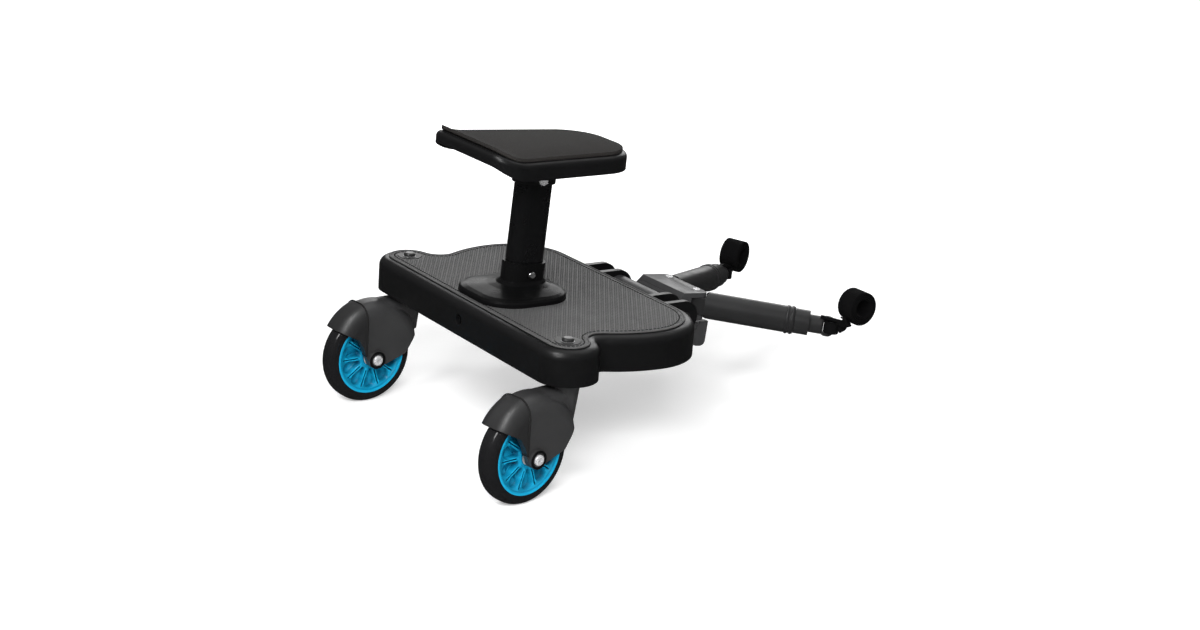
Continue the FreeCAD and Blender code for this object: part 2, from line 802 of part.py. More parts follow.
def caster(side, sign):
    where = caster_frame(side, sign)
    axle_y = "-trail"
    axle_z = "wheel_radius"
    neck_top = "deck_top - deck_depth - neck_gap"
    crown = "wheel_radius + crown_rise"
    seam = "-trail - fender_seam"
    big = "fender_radius * 4"
    behind = box(big, big, big, ("0", f"{seam} - ({big}) / 2", "-wheel_radius"))
    wheel_room = cylinder("wheel_radius + wheel_gap", "fork_gap * 2", ("-fork_gap", axle_y, axle_z), "X")
    wheel_room = rounded(wheel_room, s.tread_radius, lambda edge: edge.BoundBox.XLength < s.running_gap)
    front_room = box("fork_gap * 2", "trail * 2", crown, ("0", "0", "0"))
    top_level = s.deck_top - s.deck_depth - s.neck_gap
    neck = loft(
        ring_at(s.neck_foot_radius, 0, s.wheel_radius + s.crown_rise),
        ring_at(s.neck_radius, -s.neck_back, top_level),
    )
    bridge = loft(
        crown_section(s.crown_rear_width, s.crown_rear_low, s.crown_rear_high, -s.crown_rear),
        crown_section(s.crown_front_width, s.crown_front_low, s.crown_front_high, 0),
    )
    across = ("axle_boss_half_width * 2", ("-axle_boss_half_width", axle_y, axle_z), "X")
    bosses = cylinder("axle_boss_radius", *across)
    axle_bore = cylinder("axle_radius", *across)
    stem_floor = f"{neck_top} - stem_depth"
    stem_bore = cylinder("stem_radius", "stem_depth", ("0", "0", stem_floor))
    solid = fuse(cut(fork_body("0"), behind), cut(bridge, behind), neck, bosses)
    node(f"{side}_fork", cut(solid, wheel_room, front_room, axle_bore, stem_bore), where=where)
    node(f"{side}_fender", cut(common(fork_body("fender_step"), behind), wheel_room), where=where)

    stem_top = "deck_top + washer_thickness"
    stem = cylinder("stem_radius", f"{stem_top} - ({stem_floor})", ("0", "0", stem_floor))
    shank_at = ("0", "0", f"{stem_top} - stem_bolt_length")
    bolt_shank = cylinder("stem_bolt_radius", "stem_bolt_length", shank_at)
    node(f"{side}_stem", cut(stem, bolt_shank), where=where)
    head = cylinder("stem_head_radius", "stem_head_height", ("0", "0", stem_top))
    head_top = s.deck_top + s.washer_thickness + s.stem_head_height
    dome = rounded(head, s.stem_head_height * DOME_SHARE, at_height(head_top))
    node(f"{side}_stem_bolt", fuse(dome, bolt_shank), where=where)

    half = "axle_boss_half_width"
    shank = cylinder("axle_radius", f"{half} * 2", (f"-{half}", axle_y, axle_z), "X")
    bolt_head = cylinder("axle_head_radius", "axle_head_height", (half, axle_y, axle_z), "X")
    node(f"{side}_axle_bolt", fuse(shank, bolt_head), where=where)
    nut_at = (f"-{half} - axle_head_height", axle_y, axle_z)
    nut = cylinder("axle_head_radius", "axle_head_height", nut_at, "X")
    node(f"{side}_axle_nut", nut, where=where)
    bearing_face = "wheel_width / 2"
    gap = "moving_gap"
    side_length = f"fork_gap - {bearing_face} - {gap}"
    middle = f"{bearing_face} - bearing_width - {gap}"
    spacers = [
        tube("spacer_radius", "axle_radius", side_length, (f"{bearing_face} + {gap}", axle_y, axle_z), "X"),
        tube("spacer_radius", "axle_radius", side_length, ("-fork_gap", axle_y, axle_z), "X"),
        tube("spacer_radius", "axle_radius", f"2 * ({middle})", (f"-({middle})", axle_y, axle_z), "X"),
    ]
    node(f"{side}_axle_spacers", *spacers, where=where)
    wheel(side, where)


def pocket_outline():
    """A teardrop between two ribs of the hub, wide at the rim."""
    small = s.pocket_inner_radius
    large = s.pocket_outer_radius
    near = s.hub_boss_radius + s.pocket_margin + small
    far = s.wheel_radius - s.tyre_depth - s.rim_depth - s.pocket_margin - large
    tilt = math.asin((large - small) / (far - near))
    side = Vector(-math.sin(tilt), math.cos(tilt))
    ends = [Vector(near, 0) + side * small, Vector(far, 0) + side * large]
    mirrored = [Vector(point.x, -point.y) for point in ends]
    return face_of([
        line(ends[0], ends[1]),
        Part.Arc(ends[1], Vector(far + large, 0), mirrored[1]).toShape(),
        line(mirrored[1], mirrored[0]),
        Part.Arc(mirrored[0], Vector(near - small, 0), ends[0]).toShape(),
    ])


def wheel(side, where):
    half = s.wheel_width / 2
    axle = Placement(Vector(0, -s.trail, s.wheel_radius), ALONG["X"])
    near_face = ("0", "0", "-wheel_width / 2")
    tread = cylinder("wheel_radius", "wheel_width", near_face)

    def shoulder(edge):
        return at_height(half)(edge) or at_height(-half)(edge)

    band = rounded(tread, s.tread_radius, shoulder)
    hub_radius = "wheel_radius - tyre_depth"
    rim_bore = cylinder(hub_radius, "wheel_width", near_face)
    node(f"{side}_tyre", cut(band, rim_bore), where=where * axle)

    rim = tube(hub_radius, f"{hub_radius} - rim_depth", "wheel_width", near_face)
    web_face = ("0", "0", "-wheel_width / 2 + pocket_margin")
    web = cylinder(hub_radius, "wheel_width - 2 * pocket_margin", web_face)
    boss = cylinder("hub_boss_radius", "wheel_width", near_face)
    seat = cylinder("bearing_radius", "wheel_width", near_face)
    pockets = []
    outline = pocket_outline()
    for number in range(int(s.pocket_count)):
        turned = outline.copy()
        turned.rotate(Vector(), Vector(0, 0, 1), 360 * number / s.pocket_count)
        pockets.append(extrude(turned, "wheel_width", at=("0", "0", "web_thickness / 2")))
        pockets.append(extrude(turned, "wheel_width", at=("0", "0", "-web_thickness / 2 - wheel_width")))
    node(f"{side}_hub", cut(fuse(rim, web, boss), seat, *pockets), where=where * axle)
    ring = ("bearing_radius", "axle_radius + running_gap", "bearing_width")
    bearings = [
        tube(*ring, ("0", "0", "wheel_width / 2 - bearing_width")),
        tube(*ring, near_face),
    ]
    node(f"{side}_bearings", *bearings, where=where * axle)


# Connector block and wing knobs

def pivot_places(level):
    return [(f"{sign} * pivot_span / 2", "pivot_reach", level) for side, sign in SIDES]


def cover_screws():
    screws = []
    for side, sign in SIDES:
        x = f"{sign} * cover_screw_span / 2"
        length = "block_rise + block_drop - block_plate + cover_screw_bite"
        shank = cylinder("screw_radius", length, (x, "cover_screw_y", "-block_drop"))
        head = cylinder("screw_head_radius", "screw_head_height", (x, "cover_screw_y", "-block_drop"))
        screws.append(fuse(shank, head))
    return screws


def connector():
    slot_top = "block_rise - block_plate"
    plate_face = rounded_rectangle(s.block_width, s.block_front * 2, s.block_corner)
    ahead = box("block_width * 2", "block_front", "block_width", ("0", "block_front / 2", "-block_width / 2"))
    low_plate = common(extrude(plate_face, "block_plate", at=("0", "0", "-block_drop")), ahead)
    web = box("block_width", "web_front", f"{slot_top} + block_drop", ("0", "web_front / 2", "-block_drop"))
    barrel_length = "ear_inner_span - ear_thickness - 2 * barrel_gap"
    barrel_at = (f"-({barrel_length}) / 2", "0", "0")
    barrel = cylinder("barrel_radius", barrel_length, barrel_at, "X")
    slope = extrude(polygon([
        (0, s.slope_top, s.block_rise + s.overrun),
        (0, s.slope_foot, s.block_rise - s.slope_fall),
        (0, -s.block_width, s.block_rise - s.slope_fall),
        (0, -s.block_width, s.block_rise + s.overrun),
    ]), "block_width * 2", Vector(1, 0, 0), symmetric=True)
    pin_room = f"{barrel_length} + block_width"
    pin_bore = cylinder("hinge_pin_radius + running_gap", pin_room, (f"-({pin_room}) / 2", "0", "0"), "X")
    bolt_length = "block_rise + block_drop"
    pivot_bores = [cylinder("pivot_radius", bolt_length, at) for at in pivot_places("-block_drop")]
    keep_barrel = cut(slope, cylinder("barrel_radius", "block_width * 2", ("-block_width", "0", "0"), "X"))
    recesses = []
    for step in (-1.5, -0.5, 0.5, 1.5):
        place = (f"{step} * recess_spacing", "recess_end / 2", "block_rise - slope_fall - recess_low")
        recesses.append(box("recess_width", "recess_end", "recess_height", place))
    base = fuse(cut(fuse(low_plate, web), keep_barrel, *recesses), barrel)
    node("connector_base", cut(base, pin_bore, *pivot_bores, *cover_screws()), where=HINGE)

    top_plate = common(extrude(plate_face, "block_plate", at=("0", "0", slot_top)), ahead)
    cover = cut(top_plate, slope, *pivot_bores, *cover_screws())
    node("connector_cover", cover, where=HINGE)
    node("cover_screws", *cover_screws(), where=HINGE)

    bolts = []
    low = "-block_drop - knob_neck - knob_hub"
    for x, y, level in pivot_places("block_rise"):
        shank = cylinder("pivot_radius", f"block_rise - ({low})", (x, y, low))
        head = cylinder("pivot_head_radius", "pivot_head_height", (x, y, level))
        head = rounded(head, s.pivot_head_height * DOME_SHARE, at_height(s.block_rise + s.pivot_head_height))
        bolts.append(fuse(shank, head))
    node("pivot_bolts", *bolts, where=HINGE)


def wing_knob(side, sign):
    pivot = HINGE * Placement(Vector(sign * s.pivot_span / 2, s.pivot_reach, -s.block_drop), Rotation())
    neck_low = "-moving_gap - knob_neck"
    hub_low = f"{neck_low} - knob_hub"
    wing_low = f"{hub_low} - knob_wing_height"
    neck = cylinder("knob_neck_radius", "knob_neck", ("0", "0", neck_low))
    hub = cylinder("knob_hub_radius", "knob_hub", ("0", "0", hub_low))
    wing_height = "knob_wing_height + knob_hub"
    wing = box("knob_wing_thickness", "knob_wing_width", wing_height, ("0", "knob_offset", wing_low))
    low_corner = -s.moving_gap - s.knob_neck - s.knob_hub - s.knob_wing_height

    def wing_end(edge):
        bounds = edge.BoundBox
        return at_height(low_corner)(edge) and bounds.XLength > s.knob_wing_thickness / 2

    wing = rounded(wing, s.knob_wing_width * WING_ROUND_SHARE, wing_end)
    thread = cylinder("pivot_radius + running_gap", "knob_neck + knob_hub", ("0", "0", hub_low))
    node(f"{side}_knob", cut(fuse(neck, hub, wing), thread), where=pivot)


# Arms and straps

def arm(side, sign):
    where = arm_frame(side, sign)
    slot = "block_rise + block_drop - 2 * block_plate - 2 * moving_gap"
    tongue_low = f"-({slot}) / 2"
    tongue = cylinder("tongue_radius", slot, ("0", "0", tongue_low))
    neck = box("tongue_radius * 2", "tube_floor", slot, ("0", "tube_floor / 2", tongue_low))
    outside = cylinder("tube_radius", "tube_end - tube_start", ("0", "tube_start", "0"), "Y")
    swing_room = cylinder("tube_root", "2 * (tube_radius + overrun)", ("0", "0", "-tube_radius - overrun"))
    inside = common(neck, cylinder("tube_radius", "tube_floor", ("0", "0", "0"), "Y"))
    bore = cylinder("tube_bore", "tube_end - tube_floor", ("0", "tube_floor", "0"), "Y")
    pivot_bore = cylinder("pivot_radius + running_gap", slot, ("0", "0", tongue_low))
    node(f"{side}_arm_tube", cut(fuse(tongue, inside, cut(outside, swing_room)), bore, pivot_bore), where=where)

    ring_at = ("0", "tube_end - lock_ring_back", "0")
    over = tube("lock_ring_radius", "tube_radius", "lock_ring_back", ring_at, "Y")
    beyond = tube("lock_ring_radius", "tube_bore", "lock_ring_front", ("0", "tube_end", "0"), "Y")
    node(f"{side}_lock_ring", fuse(over, beyond), where=where)

    rod = cylinder("tube_bore - running_gap", "rod_end - rod_start", ("0", "rod_start", "0"), "Y")
    head_start = "tube_end + lock_ring_front + moving_gap"
    head = cylinder("rod_head_radius", f"rod_end - ({head_start})", ("0", head_start, "0"), "Y")
    rod_bore = cylinder("rod_bore", "rod_end - rod_start - lock_ring_front", ("0", "rod_start", "0"), "Y")
    shank = cylinder("rod_neck_radius", "rod_neck_end - rod_end", ("0", "rod_end", "0"), "Y")
    eye_centre = "rod_neck_end + eye_length / 2 - eye_side / 2"
    eye_face = rounded_rectangle(s.eye_height, s.eye_length, s.eye_corner)
    eye = extrude(eye_face, "eye_thickness", at=("0", eye_centre, "-eye_thickness / 2"))
    hole_length = "eye_length - eye_bar - eye_side"
    hole_y = f"{eye_centre} + (eye_side - eye_bar) / 2"
    hole = box("eye_height - 2 * eye_side", hole_length, "eye_thickness", ("0", hole_y, "-eye_thickness / 2"))
    upright = moved(cut(eye, hole), Placement(Vector(), Rotation(Vector(0, 1, 0), 90)))
    node(f"{side}_slider", fuse(cut(fuse(rod, head), rod_bore), shank, upright), where=where)
    strap(side, where)
    wing_knob(side, sign)


def strap_frames(side, where):
    """The eye's bar that the webbing wraps, and the loop that stands beyond it, seen from the bar."""
    bar_y = s.rod_neck_end - s.eye_side / 2 + s.eye_length - s.eye_bar / 2
    bar = where * Placement(Vector(0, bar_y, 0), Rotation())
    turn = Rotation(Vector(0, 0, 1), SIZES[f"{side}_strap_angle"])
    reach = Vector(0, SIZES[f"{side}_strap_forward"], SIZES[f"{side}_strap_up"])
    return bar, Placement(reach, turn)


def webbing_end(centre, upward, outward):
    """The cross-section of a double thickness of webbing, by its two half sizes."""
    corners = [centre + upward + outward, centre + upward - outward]
    corners += [centre - upward - outward, centre - upward + outward]
    return Part.makePolygon(corners + corners[:1])


def strap(side, where):
    """Webbing that wraps the eye's upright bar, then turns flat and ends as a thick roll."""
    bar, loop = strap_frames(side, where)
    wrap_at = ("0", "0", "-strap_neck_width / 2")
    wrap = tube("strap_wrap_radius + strap_thickness", "strap_wrap_radius", "strap_neck_width", wrap_at)
    roll_at = ("-strap_width / 2", "0", "0")
    roll = tube("strap_loop_radius", "strap_loop_radius - strap_loop_wall", "strap_width", roll_at, "X")
    across = loop.Rotation.multVec(Vector(1, 0, 0))
    back = Vector(loop.Base).normalize() * -1
    back = (back - across * back.dot(across)).normalize()
    half_width = s.strap_neck_width / 2
    foot = Vector(0, s.strap_wrap_radius + s.strap_thickness / 2, 0)
    head = loop.Base + back * (s.strap_loop_radius - s.strap_loop_wall / 2)
    neck = loft(
        webbing_end(foot, Vector(0, 0, half_width), Vector(s.strap_thickness, 0, 0)),
        webbing_end(head, back.cross(across) * s.strap_thickness, across * half_width),
    )
    node(f"{side}_strap", fuse(wrap, neck, moved(roll, loop)), where=bar)


def main():
    deck()
    seat_base()
    seat_post()
    snap_button()
    seat()
    connector()
    for side, sign in SIDES:
        caster(side, sign)
        arm(side, sign)
    doc.recompute()

    whole = FreeCAD.BoundBox()
    for piece in nodes:
        whole.add(piece.Shape.optimalBoundingBox(False))
    shift = Placement(Vector(-whole.Center.x, -whole.Center.y, -whole.ZMin), Rotation())
    print("shift", [round(v, 4) for v in shift.Base])
    for piece in nodes:
        piece.Placement = shift * piece.Placement
    doc.recompute()

    for thing in doc.Objects:
        if "Invalid" in thing.State or "Error" in thing.State:
            raise RuntimeError(f"{thing.Label} failed: {thing.State}")
    os.makedirs("parts", exist_ok=True)
    for piece in nodes:
        shape = piece.Shape
        if shape.isNull() or not shape.isValid() or not shape.Solids:
            raise RuntimeError(f"{piece.Label} has no valid solid")
        shape.exportStep(os.path.join("parts", piece.Label + ".step"))
        print(piece.Label, len(shape.Solids), round(shape.Volume))


main()
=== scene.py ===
"""Looks of the buggy board: finishes, fine parts, soft parts, a pale floor, soft light and the camera."""
import json
import math
import bmesh
import bpy
from mathutils import Matrix, Vector
from mathutils.bvhtree import BVHTree
from mathutils.kdtree import KDTree


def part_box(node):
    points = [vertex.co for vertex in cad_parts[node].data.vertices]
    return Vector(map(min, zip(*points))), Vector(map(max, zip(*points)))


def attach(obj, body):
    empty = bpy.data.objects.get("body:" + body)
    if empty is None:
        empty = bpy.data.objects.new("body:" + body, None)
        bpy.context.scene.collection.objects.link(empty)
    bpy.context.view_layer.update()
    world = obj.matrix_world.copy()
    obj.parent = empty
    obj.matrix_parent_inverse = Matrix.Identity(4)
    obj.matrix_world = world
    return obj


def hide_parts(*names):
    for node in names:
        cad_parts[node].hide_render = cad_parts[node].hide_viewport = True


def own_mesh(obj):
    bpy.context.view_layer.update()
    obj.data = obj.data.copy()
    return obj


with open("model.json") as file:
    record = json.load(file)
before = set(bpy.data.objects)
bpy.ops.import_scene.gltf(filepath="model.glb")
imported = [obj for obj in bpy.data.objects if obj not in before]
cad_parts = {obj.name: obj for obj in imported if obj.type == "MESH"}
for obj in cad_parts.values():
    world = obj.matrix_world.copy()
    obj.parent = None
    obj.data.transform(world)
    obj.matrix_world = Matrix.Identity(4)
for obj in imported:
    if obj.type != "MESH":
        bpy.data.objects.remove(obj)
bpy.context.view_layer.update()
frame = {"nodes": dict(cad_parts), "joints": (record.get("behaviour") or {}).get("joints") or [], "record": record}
MM = 0.001
SIDES = ("left", "right")
RIGHT = Vector((1, 0, 0))
AHEAD = Vector((0, 1, 0))
UP = Vector((0, 0, 1))
BODIES = frame["record"]["behaviour"]["bodies"]
NODE_BODY = {node: body for body, nodes in BODIES.items() for node in nodes}
NODE_SLOT = {part["node"]: part["material_slot"] for part in frame["record"]["subparts"]}


# Places read from the frame

def middle(node):
    low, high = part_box(node)
    return (low + high) / 2


def joint(name):
    return next(item for item in frame["joints"] if item["name"] == name)


def mount(name):
    return next(item for item in frame["record"]["mounts"] if item["name"] == name)


def joint_line(name, toward):
    """A joint's place and its axis, turned to point the given way."""
    item = joint(name)
    direction = Vector(item["axis"]).normalized()
    if direction.dot(toward) < 0:
        direction.negate()
    return Vector(item["pos_m"]), direction


def arm_line(side):
    """The middle line of an arm: a point at its pivot and its direction outward."""
    direction = Vector(joint(f"{side}_arm_extend")["axis"]).normalized()
    origin = Vector(joint(f"{side}_arm_swing")["pos_m"])
    centre = middle(f"{side}_lock_ring")
    foot = centre - direction * (centre - origin).dot(direction)
    return foot, direction


def span_along(node, origin, direction):
    """How far a node reaches along a line, from and to."""
    reaches = [(v.co - origin).dot(direction) for v in frame["nodes"][node].data.vertices]
    return min(reaches), max(reaches)


def line_place(origin, direction, upward=UP):
    """A place at the origin whose Z runs along the direction and whose Y leans upward."""
    z = direction.normalized()
    x = upward.cross(z).normalized()
    y = z.cross(x)
    return Matrix.Translation(origin) @ Matrix((x, y, z)).transposed().to_4x4()


# Material parts

WHITE = (1, 1, 1, 1)
NOISE_DETAIL = 3.0
NOISE_ROUGH = 0.55
NOISE_LOW = 0.3
NOISE_HIGH = 0.7
BEVEL_RAYS = 4


def new_material(name):
    material = bpy.data.materials.new(name)
    material.use_nodes = True
    tree = material.node_tree
    return material, tree, tree.nodes["Principled BSDF"]


def own_place(tree):
    """Object coordinates, which follow the real size of every piece."""
    return tree.nodes.new("ShaderNodeTexCoord").outputs["Object"]


def noise(tree, vector, scale, detail=NOISE_DETAIL, roughness=NOISE_ROUGH):
    node = tree.nodes.new("ShaderNodeTexNoise")
    node.inputs["Scale"].default_value = scale
    node.inputs["Detail"].default_value = detail
    node.inputs["Roughness"].default_value = roughness
    tree.links.new(vector, node.inputs["Vector"])
    return node.outputs["Fac"]


def spread(tree, value, low, high, start=NOISE_LOW, end=NOISE_HIGH):
    """A value between a start and an end, stretched to a range."""
    node = tree.nodes.new("ShaderNodeMapRange")
    node.inputs["From Min"].default_value = start
    node.inputs["From Max"].default_value = end
    node.inputs["To Min"].default_value = low
    node.inputs["To Max"].default_value = high
    tree.links.new(value, node.inputs["Value"])
    return node.outputs["Result"]


def tint(tree, value, dark, light):
    """A colour between two by a 0 to 1 value."""
    node = tree.nodes.new("ShaderNodeMix")
    node.data_type = "RGBA"
    node.inputs["A"].default_value = (*dark, 1)
    node.inputs["B"].default_value = (*light, 1)
    tree.links.new(value, node.inputs["Factor"])
    return node.outputs["Result"]


def shades(tree, value, colour, dark_share, light_share):
    """A darker to a lighter shade of one colour by a 0 to 1 value."""
    dark = [part * dark_share for part in colour]
    light = [part * light_share for part in colour]
    return tint(tree, value, dark, light)


def bump(tree, shader, height, strength, distance, edge=0.0):
    """Surface relief, over edges that are eased by a small radius."""
    node = tree.nodes.new("ShaderNodeBump")
    node.inputs["Strength"].default_value = strength
    node.inputs["Distance"].default_value = distance
    tree.links.new(height, node.inputs["Height"])
    if edge:
        eased = tree.nodes.new("ShaderNodeBevel")
        eased.samples = BEVEL_RAYS
        eased.inputs["Radius"].default_value = edge
        tree.links.new(eased.outputs["Normal"], node.inputs["Normal"])
    tree.links.new(node.outputs["Normal"], shader.inputs["Normal"])


# Moulded plastic and paint

CLOUD_SCALE = 14.0
CLOUD_DARK_SHARE = 0.8
CLOUD_LIGHT_SHARE = 1.25
SMEAR_SCALE = 55.0
SMEAR_DETAIL = 5.0
SMEAR_BELOW = 0.05
SMEAR_ABOVE = 0.06
GRAIN_DETAIL = 2.0
GRAIN_DEPTH = 0.2 * MM
MOULDED_EDGE = 1.2 * MM


def moulded(name, colour, rough, grain, strength, gloss):
    """Moulded plastic: a fine eroded grain, cloudy gloss and a slight change of shade."""
    material, tree, shader = new_material(name)
    where = own_place(tree)
    cloud = noise(tree, where, CLOUD_SCALE)
    smear = noise(tree, where, SMEAR_SCALE, SMEAR_DETAIL)
    shade = shades(tree, cloud, colour, CLOUD_DARK_SHARE, CLOUD_LIGHT_SHARE)
    sheen = spread(tree, smear, rough - SMEAR_BELOW, rough + SMEAR_ABOVE)
    tree.links.new(shade, shader.inputs["Base Color"])
    tree.links.new(sheen, shader.inputs["Roughness"])
    shader.inputs["Specular IOR Level"].default_value = gloss
    bump(tree, shader, noise(tree, where, grain, GRAIN_DETAIL), strength, GRAIN_DEPTH, MOULDED_EDGE)
    return material


# Plated metal

PLATE_DETAIL = 4.0
PLATE_DARK_SHARE = 0.85
PLATE_SMOOTH_SHARE = 0.7
PLATE_ROUGH_SHARE = 1.4
MARK_FINENESS = 6
MARK_DETAIL = 2.0
MARK_STRENGTH = 0.05
MARK_DEPTH = 0.1 * MM
PLATE_EDGE = 0.4 * MM


def metal(name, colour, rough, scale, metallic):
    """Plated metal with faint turning marks."""
    material, tree, shader = new_material(name)
    where = own_place(tree)
    smear = noise(tree, where, scale, PLATE_DETAIL)
    shade = shades(tree, smear, colour, PLATE_DARK_SHARE, 1)
    sheen = spread(tree, smear, rough * PLATE_SMOOTH_SHARE, rough * PLATE_ROUGH_SHARE)
    tree.links.new(shade, shader.inputs["Base Color"])
    tree.links.new(sheen, shader.inputs["Roughness"])
    shader.inputs["Metallic"].default_value = metallic
    marks = noise(tree, where, scale * MARK_FINENESS, MARK_DETAIL)
    bump(tree, shader, marks, MARK_STRENGTH, MARK_DEPTH, PLATE_EDGE)
    return material


# Translucent wheel plastic, with painted shade in its pockets

# Painted shade in the pockets: how far and how strongly nearby faces darken the blue, and the shaded blue
POCKET_DEPTH = 12 * MM
POCKET_SHADE = 0.4
POCKET_RAYS = 6
POCKET_SHADE_BLUE = (0.0004, 0.026, 0.066)
BRIGHT_BLUE = (0.007, 0.31, 0.53)
HUB_ROUGH = 0.07
HUB_CLEAR_SHARE = 0.15
HUB_MILKY_SHARE = 0.08
HUB_SCATTER = (4 * MM, 10 * MM, 14 * MM)
HUB_IOR = 1.45
RIPPLE_SCALE = 160.0
RIPPLE_STRENGTH = 0.04
RIPPLE_DEPTH = 0.3 * MM
HUB_EDGE = 0.7 * MM


def clear_blue(name):
    """Translucent blue wheel plastic, darker in its pockets by painted shade."""
    material, tree, shader = new_material(name)
    # Painted shade: faces close to other faces take the shaded blue, open faces the bright blue
    depth = tree.nodes.new("ShaderNodeAmbientOcclusion")
    depth.samples = POCKET_RAYS
    depth.inputs["Distance"].default_value = POCKET_DEPTH
    open_share = spread(tree, depth.outputs["AO"], 0, 1, POCKET_SHADE, 1)
    tree.links.new(tint(tree, open_share, POCKET_SHADE_BLUE, BRIGHT_BLUE), shader.inputs["Base Color"])
    shader.inputs["Roughness"].default_value = HUB_ROUGH
    shader.inputs["Transmission Weight"].default_value = HUB_CLEAR_SHARE
    shader.inputs["Subsurface Weight"].default_value = HUB_MILKY_SHARE
    shader.inputs["Subsurface Radius"].default_value = HUB_SCATTER
    shader.inputs["IOR"].default_value = HUB_IOR
    ripple = noise(tree, own_place(tree), RIPPLE_SCALE)
    bump(tree, shader, ripple, RIPPLE_STRENGTH, RIPPLE_DEPTH, HUB_EDGE)
    return material


# Foam of the pad

PORE_SCALE = 900.0
PORE_DETAIL = 4.0
PORE_ROUGH = 0.7
PORE_STRENGTH = 0.35
PORE_DEPTH = 0.4 * MM
FOAM_CLOUD_SCALE = 20.0
FOAM_DARK_SHARE = 0.85
FOAM_LIGHT_SHARE = 1.2
FOAM_SMOOTH = 0.75
FOAM_ROUGH = 0.95
FOAM_GLOSS = 0.25
FOAM_EDGE = 1.2 * MM


def foam(name, colour):
    """Closed-cell foam sheet with fine pores."""
    material, tree, shader = new_material(name)
    where = own_place(tree)
    pores = noise(tree, where, PORE_SCALE, PORE_DETAIL, PORE_ROUGH)
    cloud = noise(tree, where, FOAM_CLOUD_SCALE)
    shade = shades(tree, cloud, colour, FOAM_DARK_SHARE, FOAM_LIGHT_SHARE)
    sheen = spread(tree, pores, FOAM_SMOOTH, FOAM_ROUGH)
    tree.links.new(shade, shader.inputs["Base Color"])
    tree.links.new(sheen, shader.inputs["Roughness"])
    shader.inputs["Specular IOR Level"].default_value = FOAM_GLOSS
    bump(tree, shader, pores, PORE_STRENGTH, PORE_DEPTH, FOAM_EDGE)
    return material


# Webbing of the straps

RIB_SCALE = 1.0
RIB_DISTORTION = 0.6
RIB_DETAIL = 2.0
PILE_SCALE = 1400.0
PILE_DETAIL = 3.0
PILE_ROUGH = 0.7
WEAVE_DARK_SHARE = 0.7
WEAVE_LIGHT_SHARE = 1.5
WEAVE_ROUGH = 0.9
WEAVE_GLOSS = 0.08
WEAVE_STRENGTH = 0.5
WEAVE_DEPTH = 0.6 * MM


def webbing(name, colour):
    """Woven strap: ribs across and a fine pile."""
    material, tree, shader = new_material(name)
    rib = tree.nodes.new("ShaderNodeTexWave")
    rib.wave_type = "BANDS"
    rib.bands_direction = "X"
    rib.inputs["Scale"].default_value = RIB_SCALE
    rib.inputs["Distortion"].default_value = RIB_DISTORTION
    rib.inputs["Detail"].default_value = RIB_DETAIL
    tree.links.new(tree.nodes.new("ShaderNodeUVMap").outputs["UV"], rib.inputs["Vector"])
    pile = noise(tree, own_place(tree), PILE_SCALE, PILE_DETAIL, PILE_ROUGH)
    weave = tree.nodes.new("ShaderNodeMath")
    weave.operation = "ADD"
    tree.links.new(rib.outputs["Fac"], weave.inputs[0])
    tree.links.new(pile, weave.inputs[1])
    shade = shades(tree, rib.outputs["Fac"], colour, WEAVE_DARK_SHARE, WEAVE_LIGHT_SHARE)
    tree.links.new(shade, shader.inputs["Base Color"])
    shader.inputs["Roughness"].default_value = WEAVE_ROUGH
    shader.inputs["Specular IOR Level"].default_value = WEAVE_GLOSS
    bump(tree, shader, weave.outputs["Value"], WEAVE_STRENGTH, WEAVE_DEPTH)
    return material


# Moulded finishes: colour, roughness, scale of the grain, relief, gloss
BLACK = (0.003, 0.003, 0.0032)
MOULDED = {
    "deck_plastic": (BLACK, 0.36, 1500.0, 0.10, 0.40),
    "mat_rubber": ((0.060, 0.060, 0.060), 0.55, 2200.0, 0.25, 0.35),
    "bush_plastic": ((0.020, 0.020, 0.020), 0.45, 1800.0, 0.08, 0.50),
    "black_steel": ((0.012, 0.012, 0.012), 0.28, 900.0, 0.04, 0.50),
    "post_paint": ((0.0025, 0.0025, 0.0027), 0.30, 2600.0, 0.05, 0.30),
    "seat_plastic": (BLACK, 0.36, 1500.0, 0.10, 0.40),
    # Lighter than the deck's black: painted reflection of the floor on the fork's cheeks
    "fork_plastic": ((0.024, 0.024, 0.0245), 0.38, 1700.0, 0.08, 0.50),
    "wheel_tyre": ((0.006, 0.006, 0.0065), 0.16, 600.0, 0.03, 0.45),
    "arm_plastic": ((0.011, 0.011, 0.0113), 0.36, 1700.0, 0.08, 0.50),
    "knob_plastic": ((0.034, 0.034, 0.035), 0.45, 1500.0, 0.10, 0.50),
    # Dark and without gloss, for marks that stand for the shade in grooves: painted shade
    "painted_groove_shade": ((0.012, 0.012, 0.012), 0.85, 1500.0, 0.10, 0.03),
    # Glossy black for the seat base, also put on the axle rims, darker than the fork plastic, as painted shade
    "base_gloss_and_rim_shade": ((0.003, 0.003, 0.0031), 0.30, 1500.0, 0.04, 0.06),
    # A darker copy of the fork plastic for the fenders: painted shade
    "fender_shaded_copy": ((0.012, 0.012, 0.0123), 0.42, 1700.0, 0.06, 0.65),
    # A lighter copy of the black deck plastic for the connector: painted sheen
    "cover_painted_sheen": ((0.030, 0.030, 0.031), 0.36, 1500.0, 0.10, 0.50),
}
